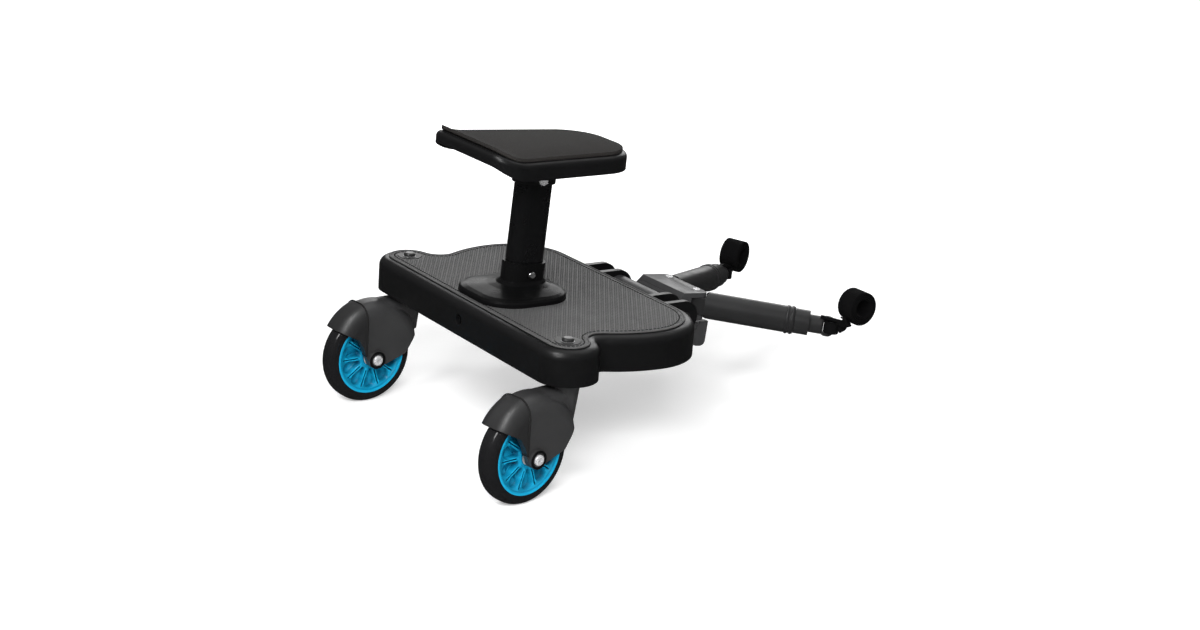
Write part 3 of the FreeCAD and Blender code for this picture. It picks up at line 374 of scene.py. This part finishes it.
# Plated finishes: colour, roughness, scale of the smears, how metallic
PLATED = {
    "bright_steel": ((0.74, 0.74, 0.75), 0.24, 300.0, 0.55),
    "button_chrome": ((0.86, 0.86, 0.87), 0.08, 200.0, 1.0),
}
PAD_COLOUR = (0.015, 0.0138, 0.0130)
STRAP_COLOUR = (0.0030, 0.0030, 0.0032)
MATERIALS = {
    **{name: moulded(name, *look) for name, look in MOULDED.items()},
    **{name: metal(name, *look) for name, look in PLATED.items()},
    "hub_plastic": clear_blue("hub_plastic"),
    "pad_foam": foam("pad_foam", PAD_COLOUR),
    "strap_webbing": webbing("strap_webbing", STRAP_COLOUR),
}
# Nodes with a finish other than their slot's
NODE_FINISH = {
    # The connector cover and base take the lighter copy: painted sheen
    "seat_base": "base_gloss_and_rim_shade", "connector_cover": "cover_painted_sheen", "connector_base": "cover_painted_sheen",
    # The fenders take the darker copy: painted shade
    "left_fender": "fender_shaded_copy", "right_fender": "fender_shaded_copy", "hinge_pin": "black_steel",
}


# Pieces, and the angles in degrees above which their edges stay sharp

SHARP_STUD = 10
SHARP_EDGE = 30
SHARP_BOLT = 35
SHARP_USUAL = 40
SHARP_STRAP = 45
SHARP_RIDGE = 50
SHARP_BEAD = 80


def dress(piece, material):
    piece.data.materials.clear()
    piece.data.materials.append(MATERIALS[material])


def new_object(name, data):
    thing = bpy.data.objects.new(name, data)
    bpy.context.scene.collection.objects.link(thing)
    return thing


def add_piece(name, mesh, body, slot, *nodes, finish=None):
    """A new piece on a body, with its slot's finish or its own, standing for the nodes that it replaces."""
    piece = new_object(name, mesh)
    dress(piece, finish or (NODE_FINISH.get(nodes[0], slot) if nodes else slot))
    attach(piece, body)
    if nodes:
        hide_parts(*nodes)
    return piece


def mesh_from(bm, name, sharp=SHARP_USUAL):
    bmesh.ops.recalc_face_normals(bm, faces=bm.faces)
    mesh = bpy.data.meshes.new(name)
    bm.to_mesh(mesh)
    bm.free()
    mesh.polygons.foreach_set("use_smooth", [True] * len(mesh.polygons))
    mesh.set_sharp_from_angle(angle=math.radians(sharp))
    return mesh


def build(name, bm, sharp, body, slot, *nodes, finish=None):
    """A new piece from a finished working mesh."""
    return add_piece(name, mesh_from(bm, name, sharp), body, slot, *nodes, finish=finish)


def skin(bm, rings):
    """Faces between rows of points that each close on themselves."""
    for this, following in zip(rings, rings[1:]):
        for step in range(len(this)):
            after = (step + 1) % len(this)
            bm.faces.new((this[step], this[after], following[after], following[step]))


def close_ends(bm, rings):
    """Caps on the first and the last row."""
    bm.faces.new(list(reversed(rings[0])))
    bm.faces.new(rings[-1])


# Copies of pieces with their sharp edges rounded

WELD = 0.01 * MM
FLAT_ANGLE = math.radians(1)
ROUNDED_ANGLE = math.radians(40)
ROUNDED_STEPS = 3
ROUNDED_PROFILE = 0.5
PAD_EDGE = 1.4 * MM
COVER_EDGE = 1.6 * MM
KNOB_EDGE = 2.2 * MM


def welded(node):
    """A node's mesh to work on, with the points of neighbouring faces joined."""
    bm = bmesh.new()
    bm.from_mesh(frame["nodes"][node].data)
    bmesh.ops.remove_doubles(bm, verts=bm.verts, dist=WELD)
    return bm


def softened(node, width):
    """A copy of a node with its sharp edges rounded, in place of it."""
    bm = welded(node)
    bmesh.ops.dissolve_limit(bm, angle_limit=FLAT_ANGLE, verts=bm.verts, edges=bm.edges)
    edges = [edge for edge in bm.edges if edge.is_manifold and edge.calc_face_angle(0) > ROUNDED_ANGLE]
    bmesh.ops.bevel(
        bm, geom=edges, offset=width, offset_type="OFFSET", segments=ROUNDED_STEPS,
        profile=ROUNDED_PROFILE, affect="EDGES", clamp_overlap=True,
    )
    return build(f"{node}_soft", bm, SHARP_EDGE, NODE_BODY[node], NODE_SLOT[node], node)


def soft_pieces():
    softened("seat_pad", PAD_EDGE)
    softened("connector_cover", COVER_EDGE)
    for side in SIDES:
        softened(f"{side}_knob", KNOB_EDGE)


def leaf_spring():
    """The button's spring, which on the real board shortens towards the far wall of the post as the button goes
    in; here a plain copy of its node with a mesh of its own.
    """
    mesh = frame["nodes"]["button_spring"].data.copy()
    spring = add_piece("button_leaf", mesh, NODE_BODY["button_spring"], "bright_steel", "button_spring")
    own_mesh(spring)


# Beads along the edge of a flat face

FACE_EASE = 0.05 * MM
FACING = 0.9
BEAD_SIDES = 8
SEAM_BEAD = 1.1 * MM


def flat_loop(node, direction):
    """The longest closed row of edge points round a node's furthest flat face along a direction."""
    bm = welded(node)
    level = max(v.co.dot(direction) for v in bm.verts) - FACE_EASE
    rim = {}
    for edge in bm.edges:
        a, b = edge.verts
        on_face = min(a.co.dot(direction), b.co.dot(direction)) > level
        if on_face and sum(face.normal.dot(direction) > FACING for face in edge.link_faces) == 1:
            rim.setdefault(a, []).append(b)
            rim.setdefault(b, []).append(a)
    loops = []
    left = set(rim)
    for first in rim:
        if first not in left:
            continue
        loop = []
        step = first
        while step is not None:
            left.discard(step)
            loop.append(step)
            step = next((v for v in rim[step] if v in left), None)
        loops.append([v.co.copy() for v in loop])
    bm.free()
    return max(loops, key=lambda loop: sum((a - b).length for a, b in zip(loop, loop[1:])))


def tangents(loop):
    """The direction of a closed row at each of its points."""
    before = loop[-1:] + loop[:-1]
    after = loop[1:] + loop[:1]
    return [(b - a).normalized() for a, b in zip(before, after)]


def bead(bm, loop, normal, wide, high):
    """A closed bead along a row of points that lie in a plane."""
    rings = []
    for point, tangent in zip(loop, tangents(loop)):
        outward = tangent.cross(normal)
        ring = []
        for step in range(BEAD_SIDES):
            angle = math.tau * step / BEAD_SIDES
            aside = outward * math.cos(angle) * wide
            ring.append(bm.verts.new(point + aside + normal * math.sin(angle) * high))
        rings.append(ring)
    skin(bm, rings + rings[:1])


def fender_seams():
    """A fine bead where each fender meets its fork, dark as painted shade of the groove along the seam."""
    for side in SIDES:
        axle = joint_line(f"{side}_wheel_spin", RIGHT)[1]
        forward = UP.cross(axle).normalized()
        if forward.y < 0:
            forward.negate()
        bm = bmesh.new()
        bead(bm, flat_loop(f"{side}_fender", forward), forward, SEAM_BEAD, SEAM_BEAD)
        # Painted shade: the bead is dark to stand for the groove along the seam
        name = f"{side}_fender_seam"
        build(name, bm, SHARP_BEAD, f"{side}_caster", "fork_plastic", finish="painted_groove_shade")


# Anti-slip mat

MAT_CELL_X = 10 * MM
MAT_CELL_Y = 6.7 * MM
STUD_HEIGHT = 0.7 * MM
STUD_GAP = 0.35 * MM
GROUP_GAP = 0.8 * MM
MAT_MARGIN = 3.0 * MM
BORDER_WIDTH = 2.5 * MM
BORDER_HEIGHT = 0.9 * MM
# The dashed line inside the mat's edge, whose dashes are dark as painted shade of a groove
STITCH_INSET = 6.0 * MM
STITCH_PITCH = 5.4 * MM
STITCH_LENGTH = 3.4 * MM
STITCH_WIDTH = 1.5 * MM
STITCH_HEIGHT = 0.45 * MM
STITCH_ROOM = 2.2 * MM


def stud_places():
    """Centres of the lozenge studs, four to a cell, drawn together so that the cells show."""
    low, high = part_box("deck_mat")
    columns = math.ceil((high.x - low.x) / MAT_CELL_X)
    rows = math.ceil((high.y - low.y) / MAT_CELL_Y)
    pull = GROUP_GAP / 2
    for row in range(2 * rows):
        for column in range(columns):
            x = low.x + (column + 0.5 * (row % 2)) * MAT_CELL_X
            y = low.y + row * MAT_CELL_Y / 2
            yield x - MAT_CELL_X / 4 + pull, y
            yield x + MAT_CELL_X / 4 - pull, y
            yield x, y - MAT_CELL_Y / 4 + pull
            yield x, y + MAT_CELL_Y / 4 - pull


def on_mat(mat, place):
    """Whether the place and a margin round it lie on the mat."""
    for aside in ((1, 0, 1), (-1, 0, 1), (0, 1, 1), (0, -1, 1)):
        hit = mat.ray_cast(place + Vector(aside) * MAT_MARGIN, -UP, 2 * MAT_MARGIN)
        if hit[0] is None:
            return False
    return True


def mat_studs(stitches):
    """Studs over the mat, apart from its edge and the stitched line."""
    data = frame["nodes"]["deck_mat"].data
    mat = BVHTree.FromPolygons([v.co for v in data.vertices], [face.vertices for face in data.polygons])
    line = KDTree(len(stitches))
    for number, (point, _) in enumerate(stitches):
        line.insert(point, number)
    line.balance()
    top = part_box("deck_mat")[1].z
    half_x = MAT_CELL_X / 4 - STUD_GAP
    half_y = MAT_CELL_Y / 4 - STUD_GAP * MAT_CELL_Y / MAT_CELL_X
    bm = bmesh.new()
    for x, y in stud_places():
        place = Vector((x, y, top))
        if not on_mat(mat, place) or line.find(place)[2] < STITCH_ROOM:
            continue
        tip = bm.verts.new((x, y, top + STUD_HEIGHT))
        foot = [
            bm.verts.new((x + half_x, y, top)), bm.verts.new((x, y + half_y, top)),
            bm.verts.new((x - half_x, y, top)), bm.verts.new((x, y - half_y, top)),
        ]
        for a, b in zip(foot, foot[1:] + foot[:1]):
            bm.faces.new((a, b, tip))
    build("mat_studs", bm, SHARP_STUD, "deck", "mat_rubber")


def mat_border(loop):
    """A raised bead along the edge of the mat."""
    bm = bmesh.new()
    bead(bm, loop, UP, BORDER_WIDTH / 2, BORDER_HEIGHT)
    build("mat_border", bm, SHARP_BEAD, "deck", "mat_rubber")


def stitch_points(loop):
    """Points and directions evenly along a line that runs inside the edge of the mat."""
    turning = sum(a.cross(b).z for a, b in zip(loop, loop[1:] + loop[:1]))
    inward = 1 if turning > 0 else -1
    inner = []
    for point, tangent in zip(loop, tangents(loop)):
        inner.append(point + UP.cross(tangent) * inward * STITCH_INSET)
    points = []
    left_over = 0.0
    for a, b in zip(inner, inner[1:] + inner[:1]):
        length = (b - a).length
        along = left_over
        while along < length:
            points.append((a.lerp(b, along / length), (b - a).normalized()))
            along += STITCH_PITCH
        left_over = along - length
    return points


def mat_groove_shade_dashes(points):
    """Short dashes along the line, dark as painted shade of a groove inside the mat's edge."""
    bm = bmesh.new()
    for point, tangent in points:
        side = UP.cross(tangent) * STITCH_WIDTH / 2
        reach = tangent * STITCH_LENGTH / 2
        low = [point + reach + side, point - reach + side, point - reach - side, point + reach - side]
        feet = [bm.verts.new(corner) for corner in low]
        tops = [bm.verts.new(corner + UP * STITCH_HEIGHT) for corner in low]
        skin(bm, (feet, tops))
        close_ends(bm, (feet, tops))
    build("mat_groove_shade_dashes", bm, SHARP_EDGE, "deck", "bush_plastic", finish="painted_groove_shade")


# Turned and socket-headed fasteners

TURN_STEPS = 36
SOCKET_DEPTH_SHARE = 0.7
SOCKET_TIP_SHARE = 0.25
HEAD_EASE_SHARE = 0.3
AXLE_BOLT = {"shank": 4 * MM, "head": 6.5 * MM, "height": 3.5 * MM, "key": 2.6 * MM}
PIVOT_BOLT = {"shank": 4 * MM, "head": 5.1 * MM, "height": 1.8 * MM, "key": 2.6 * MM}
RIM_INNER = 8.4 * MM
RIM_OUTER = 11.3 * MM
RIM_RISE = 1.5 * MM
RIM_EASE = 0.6 * MM
KNOB_NECK = 5 * MM
COLLAR_INNER = 7.5 * MM
COLLAR_OUTER = 10 * MM
COLLAR_HEIGHT = 3.4 * MM
COLLAR_EASE = 0.8 * MM


def turned(bm, place, profile, ring_shaped=False):
    """A solid of revolution about the place's Z from (radius, height) pairs: capped, or closed as a ring."""
    rings = []
    for radius, height in profile:
        ring = []
        for step in range(TURN_STEPS):
            angle = math.tau * step / TURN_STEPS
            reach = radius(angle) if callable(radius) else radius
            point = Vector((reach * math.cos(angle), reach * math.sin(angle), height))
            ring.append(bm.verts.new(place @ point))
        rings.append(ring)
    if ring_shaped:
        skin(bm, rings + rings[:1])
    else:
        skin(bm, rings)
        close_ends(bm, rings)


def hexagon(across):
    """The radius of a hexagon by angle."""
    sixth = math.tau / 6
    return lambda angle: across / math.cos((angle + sixth / 2) % sixth - sixth / 2)


def socket_bolt(bm, node, origin, direction, sizes):
    """A cap bolt as long as its node along a line, with a hexagon socket in its domed head."""
    low, high = span_along(node, origin, direction)
    shank = sizes["shank"]
    head = sizes["head"]
    head_low = high - sizes["height"]
    ease = sizes["height"] * HEAD_EASE_SHARE
    socket_low = high - sizes["height"] * SOCKET_DEPTH_SHARE
    socket = hexagon(sizes["key"])
    turned(bm, line_place(origin, direction), [
        (shank, low), (shank, head_low), (head, head_low), (head, high - 2 * ease),
        (head - ease / 3, high - ease), (head - ease, high - ease / 3), (head - 2 * ease, high),
        (socket, high), (socket, socket_low), (sizes["key"] * SOCKET_TIP_SHARE, socket_low - ease),
    ])


def axle_bolts():
    for side in SIDES:
        bm = bmesh.new()
        node = f"{side}_axle_bolt"
        socket_bolt(bm, node, *joint_line(f"{side}_wheel_spin", RIGHT), AXLE_BOLT)
        build(f"{side}_axle_socket", bm, SHARP_BOLT, f"{side}_caster", "bright_steel", node)


def pivot_bolts():
    bm = bmesh.new()
    for side in SIDES:
        socket_bolt(bm, "pivot_bolts", *joint_line(f"{side}_arm_swing", UP), PIVOT_BOLT)
    build("pivot_sockets", bm, SHARP_BOLT, "connector", "bright_steel", "pivot_bolts")


def axle_rims():
    """A raised ring round each axle bolt's head, dark as painted shade of the recess round the bolt."""
    for side in SIDES:
        origin, direction = joint_line(f"{side}_wheel_spin", RIGHT)
        face = span_along(f"{side}_fork", origin, direction)[1]
        top = face + RIM_RISE
        bm = bmesh.new()
        turned(bm, line_place(origin, direction), [
            (RIM_INNER, face), (RIM_OUTER, face), (RIM_OUTER, top - RIM_EASE), (RIM_OUTER - RIM_EASE, top),
            (RIM_INNER + RIM_EASE, top), (RIM_INNER, top - RIM_EASE),
        ], ring_shaped=True)
        # Painted shade: the rim takes the very dark finish to stand for the recess round the bolt
        name = f"{side}_axle_rim"
        build(name, bm, SHARP_EDGE, f"{side}_caster", "fork_plastic", finish="base_gloss_and_rim_shade")


def knob_collars():
    """A collar round the hub of each wing knob, below its neck."""
    for side in SIDES:
        origin, direction = joint_line(f"{side}_knob_turn", UP)
        top = span_along(f"{side}_knob", origin, direction)[1] - KNOB_NECK
        low = top - COLLAR_HEIGHT
        bm = bmesh.new()
        turned(bm, line_place(origin, direction, AHEAD), [
            (COLLAR_INNER, low), (COLLAR_OUTER - COLLAR_EASE, low), (COLLAR_OUTER, low + COLLAR_EASE),
            (COLLAR_OUTER, top - COLLAR_EASE), (COLLAR_OUTER - COLLAR_EASE, top), (COLLAR_INNER, top),
        ], ring_shaped=True)
        build(f"{side}_knob_collar", bm, SHARP_RIDGE, NODE_BODY[f"{side}_knob"], "knob_plastic")


# Lock rings on the arms

RING_RIDGE = 1.1 * MM
RING_WALL = RING_RIDGE + 3 * MM
RING_EASE = 0.3 * MM
RING_SLOPE = 0.4 * MM
RING_DROPS = (
    RING_WALL, RING_RIDGE, RING_EASE, 0, 0, RING_EASE, RING_RIDGE,
    RING_RIDGE, RING_EASE, 0, 0, RING_SLOPE, RING_RIDGE + RING_SLOPE, RING_WALL,
)
RING_SHARES = (0, 0, 0.04, 0.12, 0.24, 0.32, 0.36, 0.56, 0.60, 0.66, 0.76, 0.84, 1, 1)


def lock_rings():
    """Two thin ridges with a groove between them, by drops below the outside at shares of the length."""
    for side in SIDES:
        node = f"{side}_lock_ring"
        origin, direction = arm_line(side)
        low, high = span_along(node, origin, direction)
        reaches = [(v.co - origin).cross(direction).length for v in frame["nodes"][node].data.vertices]
        outer = max(reaches)
        profile = [
            (outer - drop, low + (high - low) * share) for drop, share in zip(RING_DROPS, RING_SHARES)
        ]
        bm = bmesh.new()
        turned(bm, line_place(origin, direction), profile)
        build(f"{side}_lock_ridges", bm, SHARP_RIDGE, f"{side}_arm", "arm_plastic", node)


# Slits in the wheel hubs

SLIT_COUNT = 10
SLIT_INNER = 18.5 * MM
SLIT_OUTER = 40.5 * MM
SLIT_WIDTH = 1.5 * MM
SLIT_DEPTH = 6.0 * MM


def slit_boxes(origin, direction, faces):
    """Boxes along the ribs of a hub, half sunk into its two faces."""
    aside = direction.cross(UP).normalized()
    down = aside.cross(direction).normalized()
    size = Matrix.Diagonal((SLIT_OUTER - SLIT_INNER, SLIT_WIDTH, 2 * SLIT_DEPTH, 1))
    bm = bmesh.new()
    for number in range(SLIT_COUNT):
        angle = math.tau * (number + 0.5) / SLIT_COUNT
        outward = down * math.cos(angle) + aside * math.sin(angle)
        turn = Matrix((outward, direction.cross(outward), direction)).transposed().to_4x4()
        for face in faces:
            centre = origin + direction * face + outward * (SLIT_INNER + SLIT_OUTER) / 2
            bmesh.ops.create_cube(bm, size=1, matrix=Matrix.Translation(centre) @ turn @ size)
    return bm


def hub_slits(side):
    """A hub with narrow slits along its ribs, cut in both faces."""
    node = f"{side}_hub"
    origin, direction = joint_line(f"{side}_wheel_spin", RIGHT)
    boxes = slit_boxes(origin, direction, span_along(node, origin, direction))
    cutter = new_object("slit_cutter", mesh_from(boxes, "slit_cutter"))
    hub = new_object("slit_hub", frame["nodes"][node].data.copy())
    slits = hub.modifiers.new("slits", "BOOLEAN")
    slits.operation = "DIFFERENCE"
    slits.solver = "EXACT"
    slits.object = cutter
    bpy.context.view_layer.update()
    evaluated = hub.evaluated_get(bpy.context.evaluated_depsgraph_get())
    mesh = bpy.data.meshes.new_from_object(evaluated)
    for thing in (cutter, hub):
        bpy.data.objects.remove(thing)
    mesh.set_sharp_from_angle(angle=math.radians(SHARP_EDGE))
    add_piece(f"{side}_slit_hub", mesh, NODE_BODY[node], "hub_plastic", node)


# Hook-and-loop straps

STRAP_WIDTH = 26 * MM
STRAP_LAYER = 2.0 * MM
STRAP_PITCH = 2.35 * MM
STRAP_ROLL = 22.3 * MM
STRAP_CORE = 12.6 * MM
NECK_WIDTH = 20 * MM
NECK_LAYER = 6.5 * MM
TAB_BACK = 15 * MM
TAB_RISE = 9 * MM
TAB_WIDTH = 15 * MM
TAB_UP_SHARE = 0.6
TAB_LEVEL_SHARE = 0.8
TAB_ROOT_SHARE = 0.5
WRAP_RADIUS = 7.8 * MM
WRAP_WIDTH = 15 * MM
EYE_BAR = 7.5 * MM
RIB_LENGTH = 1.3 * MM
TURN_POINTS = 40
BAND_POINTS = TURN_POINTS // 2
BAND_EDGE_SHARES = ((1, 0.4), (0.97, 0.85), (0.92, 1))


def across_line(vector, line):
    """The direction of a vector, square to a line."""
    return (vector - line * vector.dot(line)).normalized()


def ribbon(bm, frames, half_width, half_thick):
    """A band through (centre, across, outward) frames, eased at its edges and laid out for the weave."""
    uv = bm.loops.layers.uv.verify()
    upper = [*BAND_EDGE_SHARES, *((-a, b) for a, b in reversed(BAND_EDGE_SHARES))]
    section = upper + [(-a, -b) for a, b in upper]
    count = len(section)
    rings = []
    runs = []
    run = 0.0
    last = frames[0][0]
    for centre, across, outward in frames:
        run += (centre - last).length
        last = centre
        corners = [centre + across * (a * half_width) + outward * (b * half_thick) for a, b in section]
        rings.append([bm.verts.new(corner) for corner in corners])
        runs.append(run / RIB_LENGTH)
    for number in range(len(rings) - 1):
        this, following = rings[number:number + 2]
        start, end = runs[number:number + 2]
        for step in range(count):
            after = (step + 1) % count
            face = bm.faces.new((this[step], this[after], following[after], following[step]))
            for loop, place in zip(face.loops, ((start, step), (start, after), (end, after), (end, step))):
                loop[uv].uv = place
    close_ends(bm, rings)


def roll_frames(centre, across, back):
    """A winding from the outside of the roll to its core."""
    aside = across.cross(back)
    turns = (STRAP_ROLL - STRAP_CORE) / STRAP_PITCH
    frames = []
    for step in range(int(turns * TURN_POINTS) + 1):
        angle = math.tau * step / TURN_POINTS
        radius = STRAP_ROLL - STRAP_LAYER / 2 - STRAP_PITCH * step / TURN_POINTS
        outward = back * math.cos(angle) + aside * math.sin(angle)
        frames.append((centre + outward * radius, across, outward))
    return frames


def wrap_frames(bar, direction, upward):
    """One turn round the bar of the eye."""
    frames = []
    for step in range(TURN_POINTS + 1):
        angle = math.tau * step / TURN_POINTS
        outward = direction * math.cos(angle) + upward.cross(direction) * math.sin(angle)
        frames.append((bar + outward * WRAP_RADIUS, upward, outward))
    return frames


def neck_frames(foot, head, upward, across):
    """A band from the wrap to the roll that widens and turns as it goes."""
    travel = (head - foot).normalized()
    first = across_line(upward, travel)
    final = across_line(across, travel)
    if travel.dot(first.cross(final)) < 0:
        final.negate()
    frames = []
    for step in range(BAND_POINTS + 1):
        share = step / BAND_POINTS
        ease = share * share * (3 - 2 * share)
        wide = Matrix.Rotation(first.angle(final) * ease, 3, travel) @ first
        growth = 1 + (NECK_WIDTH / WRAP_WIDTH - 1) * share
        frames.append((foot.lerp(head, share), wide * growth, travel.cross(wide)))
    return frames


def tab_frames(tip, root, upward, level):
    """A straight loose end."""
    run = (root - tip).normalized()
    wide = across_line(upward * TAB_UP_SHARE + level * TAB_LEVEL_SHARE, run)
    return [(tip.lerp(root, step / BAND_POINTS), wide, run.cross(wide)) for step in range(BAND_POINTS + 1)]


def strap(side):
    """A wound roll, a neck of webbing down to the eye, the wrap round the eye's bar and a loose end."""
    clamp = mount(f"{side}_strap_clamp")
    centre = Vector(clamp["pos_m"])
    across = Vector(clamp["axis"]).normalized()
    origin, direction = arm_line(side)
    bar = origin + direction * (span_along(f"{side}_slider", origin, direction)[1] - EYE_BAR / 2)
    upward = direction.cross(UP).cross(direction).normalized()
    back = across_line(bar - centre, across)
    foot = bar + direction * WRAP_RADIUS
    head = centre + back * (STRAP_ROLL - STRAP_LAYER)
    tip = bar - direction * TAB_BACK + upward * TAB_RISE
    root = foot.lerp(head, TAB_ROOT_SHARE)
    bm = bmesh.new()
    ribbon(bm, roll_frames(centre, across, back), STRAP_WIDTH / 2, STRAP_LAYER / 2)
    ribbon(bm, wrap_frames(bar, direction, upward), WRAP_WIDTH / 2, STRAP_LAYER)
    ribbon(bm, neck_frames(foot, head, upward, across), WRAP_WIDTH / 2, NECK_LAYER / 2)
    ribbon(bm, tab_frames(tip, root, upward, direction.cross(upward)), TAB_WIDTH / 2, STRAP_LAYER)
    build(f"{side}_strap_roll", bm, SHARP_STRAP, f"{side}_slider", "strap_webbing", f"{side}_strap")


# The finishes and the fine parts put on the board

for name, thing in frame["nodes"].items():
    dress(thing, NODE_FINISH.get(name, NODE_SLOT[name]))
mat_edge = flat_loop("deck_mat", UP)
mat_line = stitch_points(mat_edge)
mat_studs(mat_line)
mat_border(mat_edge)
mat_groove_shade_dashes(mat_line)
fender_seams()
soft_pieces()
leaf_spring()
axle_bolts()
axle_rims()
pivot_bolts()
knob_collars()
lock_rings()
for side in SIDES:
    hub_slits(side)
    strap(side)


# Floor and backdrop

FLOOR_SIZE = 16.0
FLOOR_COLOUR = (0.8, 0.8, 0.8, 1)
FLOOR_ROUGH = 0.9
GLOW_START = 0.5
GLOW_FULL = 1.2
GLOW_NEAR = 0.34
GLOW_FAR = 1.0
BACKDROP_RADIUS = 7.8
BACKDROP_HEIGHT = 6.0
BACKDROP_SIDES = 64
BACKDROP_COLOUR = (0, 0, 0, 1)
BACKDROP_GLOW = 1.0


def glowing(name, bm, colour):
    """A stage piece without gloss that glows white."""
    piece = new_object(name, mesh_from(bm, name))
    material, tree, shader = new_material(name)
    shader.inputs["Base Color"].default_value = colour
    shader.inputs["Specular IOR Level"].default_value = 0.0
    shader.inputs["Emission Color"].default_value = WHITE
    piece.data.materials.append(material)
    piece.visible_glossy = False
    return piece, tree, shader


def floor():
    """A pale floor that shows the shadow near the board and fades to white further out."""
    bm = bmesh.new()
    bmesh.ops.create_grid(bm, x_segments=1, y_segments=1, size=FLOOR_SIZE / 2)
    piece, tree, shader = glowing("floor", bm, FLOOR_COLOUR)
    shader.inputs["Roughness"].default_value = FLOOR_ROUGH
    away = tree.nodes.new("ShaderNodeVectorMath")
    away.operation = "LENGTH"
    tree.links.new(own_place(tree), away.inputs[0])
    glow = spread(tree, away.outputs["Value"], GLOW_NEAR, GLOW_FAR, GLOW_START, GLOW_FULL)
    glow.node.interpolation_type = "SMOOTHSTEP"
    tree.links.new(glow, shader.inputs["Emission Strength"])


def backdrop():
    """A plain white wall round the floor, which lights nothing and shows in low views."""
    bm = bmesh.new()
    bmesh.ops.create_cone(
        bm, cap_ends=False, segments=BACKDROP_SIDES, radius1=BACKDROP_RADIUS, radius2=BACKDROP_RADIUS,
        depth=BACKDROP_HEIGHT, matrix=Matrix.Translation(UP * BACKDROP_HEIGHT / 2),
    )
    piece, _, shader = glowing("backdrop", bm, BACKDROP_COLOUR)
    shader.inputs["Emission Strength"].default_value = BACKDROP_GLOW
    piece.visible_diffuse = False
    piece.visible_transmission = False
    piece.visible_shadow = False


# Light

SKY_START = -0.1
SKY_END = 0.9
SKY_LOW = (0.04, 0.04, 0.04)
SKY_HIGH = (0.24, 0.24, 0.24)
SKY_STRENGTH = 1.0
# Softboxes: place, target, width and height in metres, power in watts
LAMPS = {
    "key": ((1.9, -1.5, 1.5), (0, 0.1, 0.1), (1.1, 0.9), 95),
    "streak": ((0.9, -2.1, 1.8), (0, 0.1, 0.1), (0.4, 0.9), 19),
    "crown": ((0.2, -1.35, 2.2), (0, 0.0, 0.1), (0.6, 0.6), 18),
    "top": ((-0.4, 0.8, 2.4), (0, 0.1, 0.1), (2.4, 2.0), 11),
    "behind": ((-2.4, 1.8, 1.2), (0, 0.1, 0.2), (2.6, 1.0), 22),
}
NOT_MIRRORED = ("key",)


def sky():
    """A dim grey surrounding, lighter overhead."""
    world = bpy.data.worlds.new("studio")
    world.use_nodes = True
    tree = world.node_tree
    back = tree.nodes["Background"]
    back.inputs["Strength"].default_value = SKY_STRENGTH
    height = tree.nodes.new("ShaderNodeSeparateXYZ")
    tree.links.new(tree.nodes.new("ShaderNodeTexCoord").outputs["Generated"], height.inputs["Vector"])
    rise = spread(tree, height.outputs["Z"], 0, 1, SKY_START, SKY_END)
    tree.links.new(tint(tree, rise, SKY_LOW, SKY_HIGH), back.inputs["Color"])
    bpy.context.scene.world = world


def lights():
    for name, (where, target, size, power) in LAMPS.items():
        light = bpy.data.lights.new(name, "AREA")
        light.shape = "RECTANGLE"
        light.size, light.size_y = size
        light.energy = power
        lamp = new_object(name, light)
        lamp.location = where
        lamp.rotation_euler = (Vector(target) - Vector(where)).to_track_quat("-Z", "Y").to_euler()
        lamp.visible_camera = False
        lamp.visible_glossy = name not in NOT_MIRRORED
    bpy.context.scene.view_settings.view_transform = "Standard"


# Camera

VIEW_AZIMUTH = 54.7
VIEW_ELEVATION = 17.4
VIEW_ROLL = 4.2
VIEW_DISTANCE = 2.647
VIEW_TARGET = Vector((0.0305, 0.1499, 0.1498))
FOCAL_PIXELS = 2150
PHOTO_WIDTH = 1200
SENSOR_MM = 36.0


def camera():
    """The photograph's view, whose target is measured from between the caster stems."""
    stems = middle("stem_washers")
    azimuth = math.radians(VIEW_AZIMUTH)
    elevation = math.radians(VIEW_ELEVATION)
    flat = math.cos(elevation)
    forward = Vector((-math.sin(azimuth) * flat, math.cos(azimuth) * flat, -math.sin(elevation)))
    level = Vector((math.cos(azimuth), math.sin(azimuth), 0))
    right = Matrix.Rotation(-math.radians(VIEW_ROLL), 3, forward) @ level
    data = bpy.data.cameras.new("camera")
    data.sensor_width = SENSOR_MM
    data.sensor_fit = "HORIZONTAL"
    data.lens = SENSOR_MM * FOCAL_PIXELS / PHOTO_WIDTH
    thing = new_object("camera", data)
    thing.matrix_world = Matrix((right, right.cross(forward), -forward)).transposed().to_4x4()
    thing.location = Vector((stems.x, stems.y, 0)) + VIEW_TARGET - forward * VIEW_DISTANCE
    bpy.context.scene.camera = thing


floor()
backdrop()
sky()
lights()
camera()
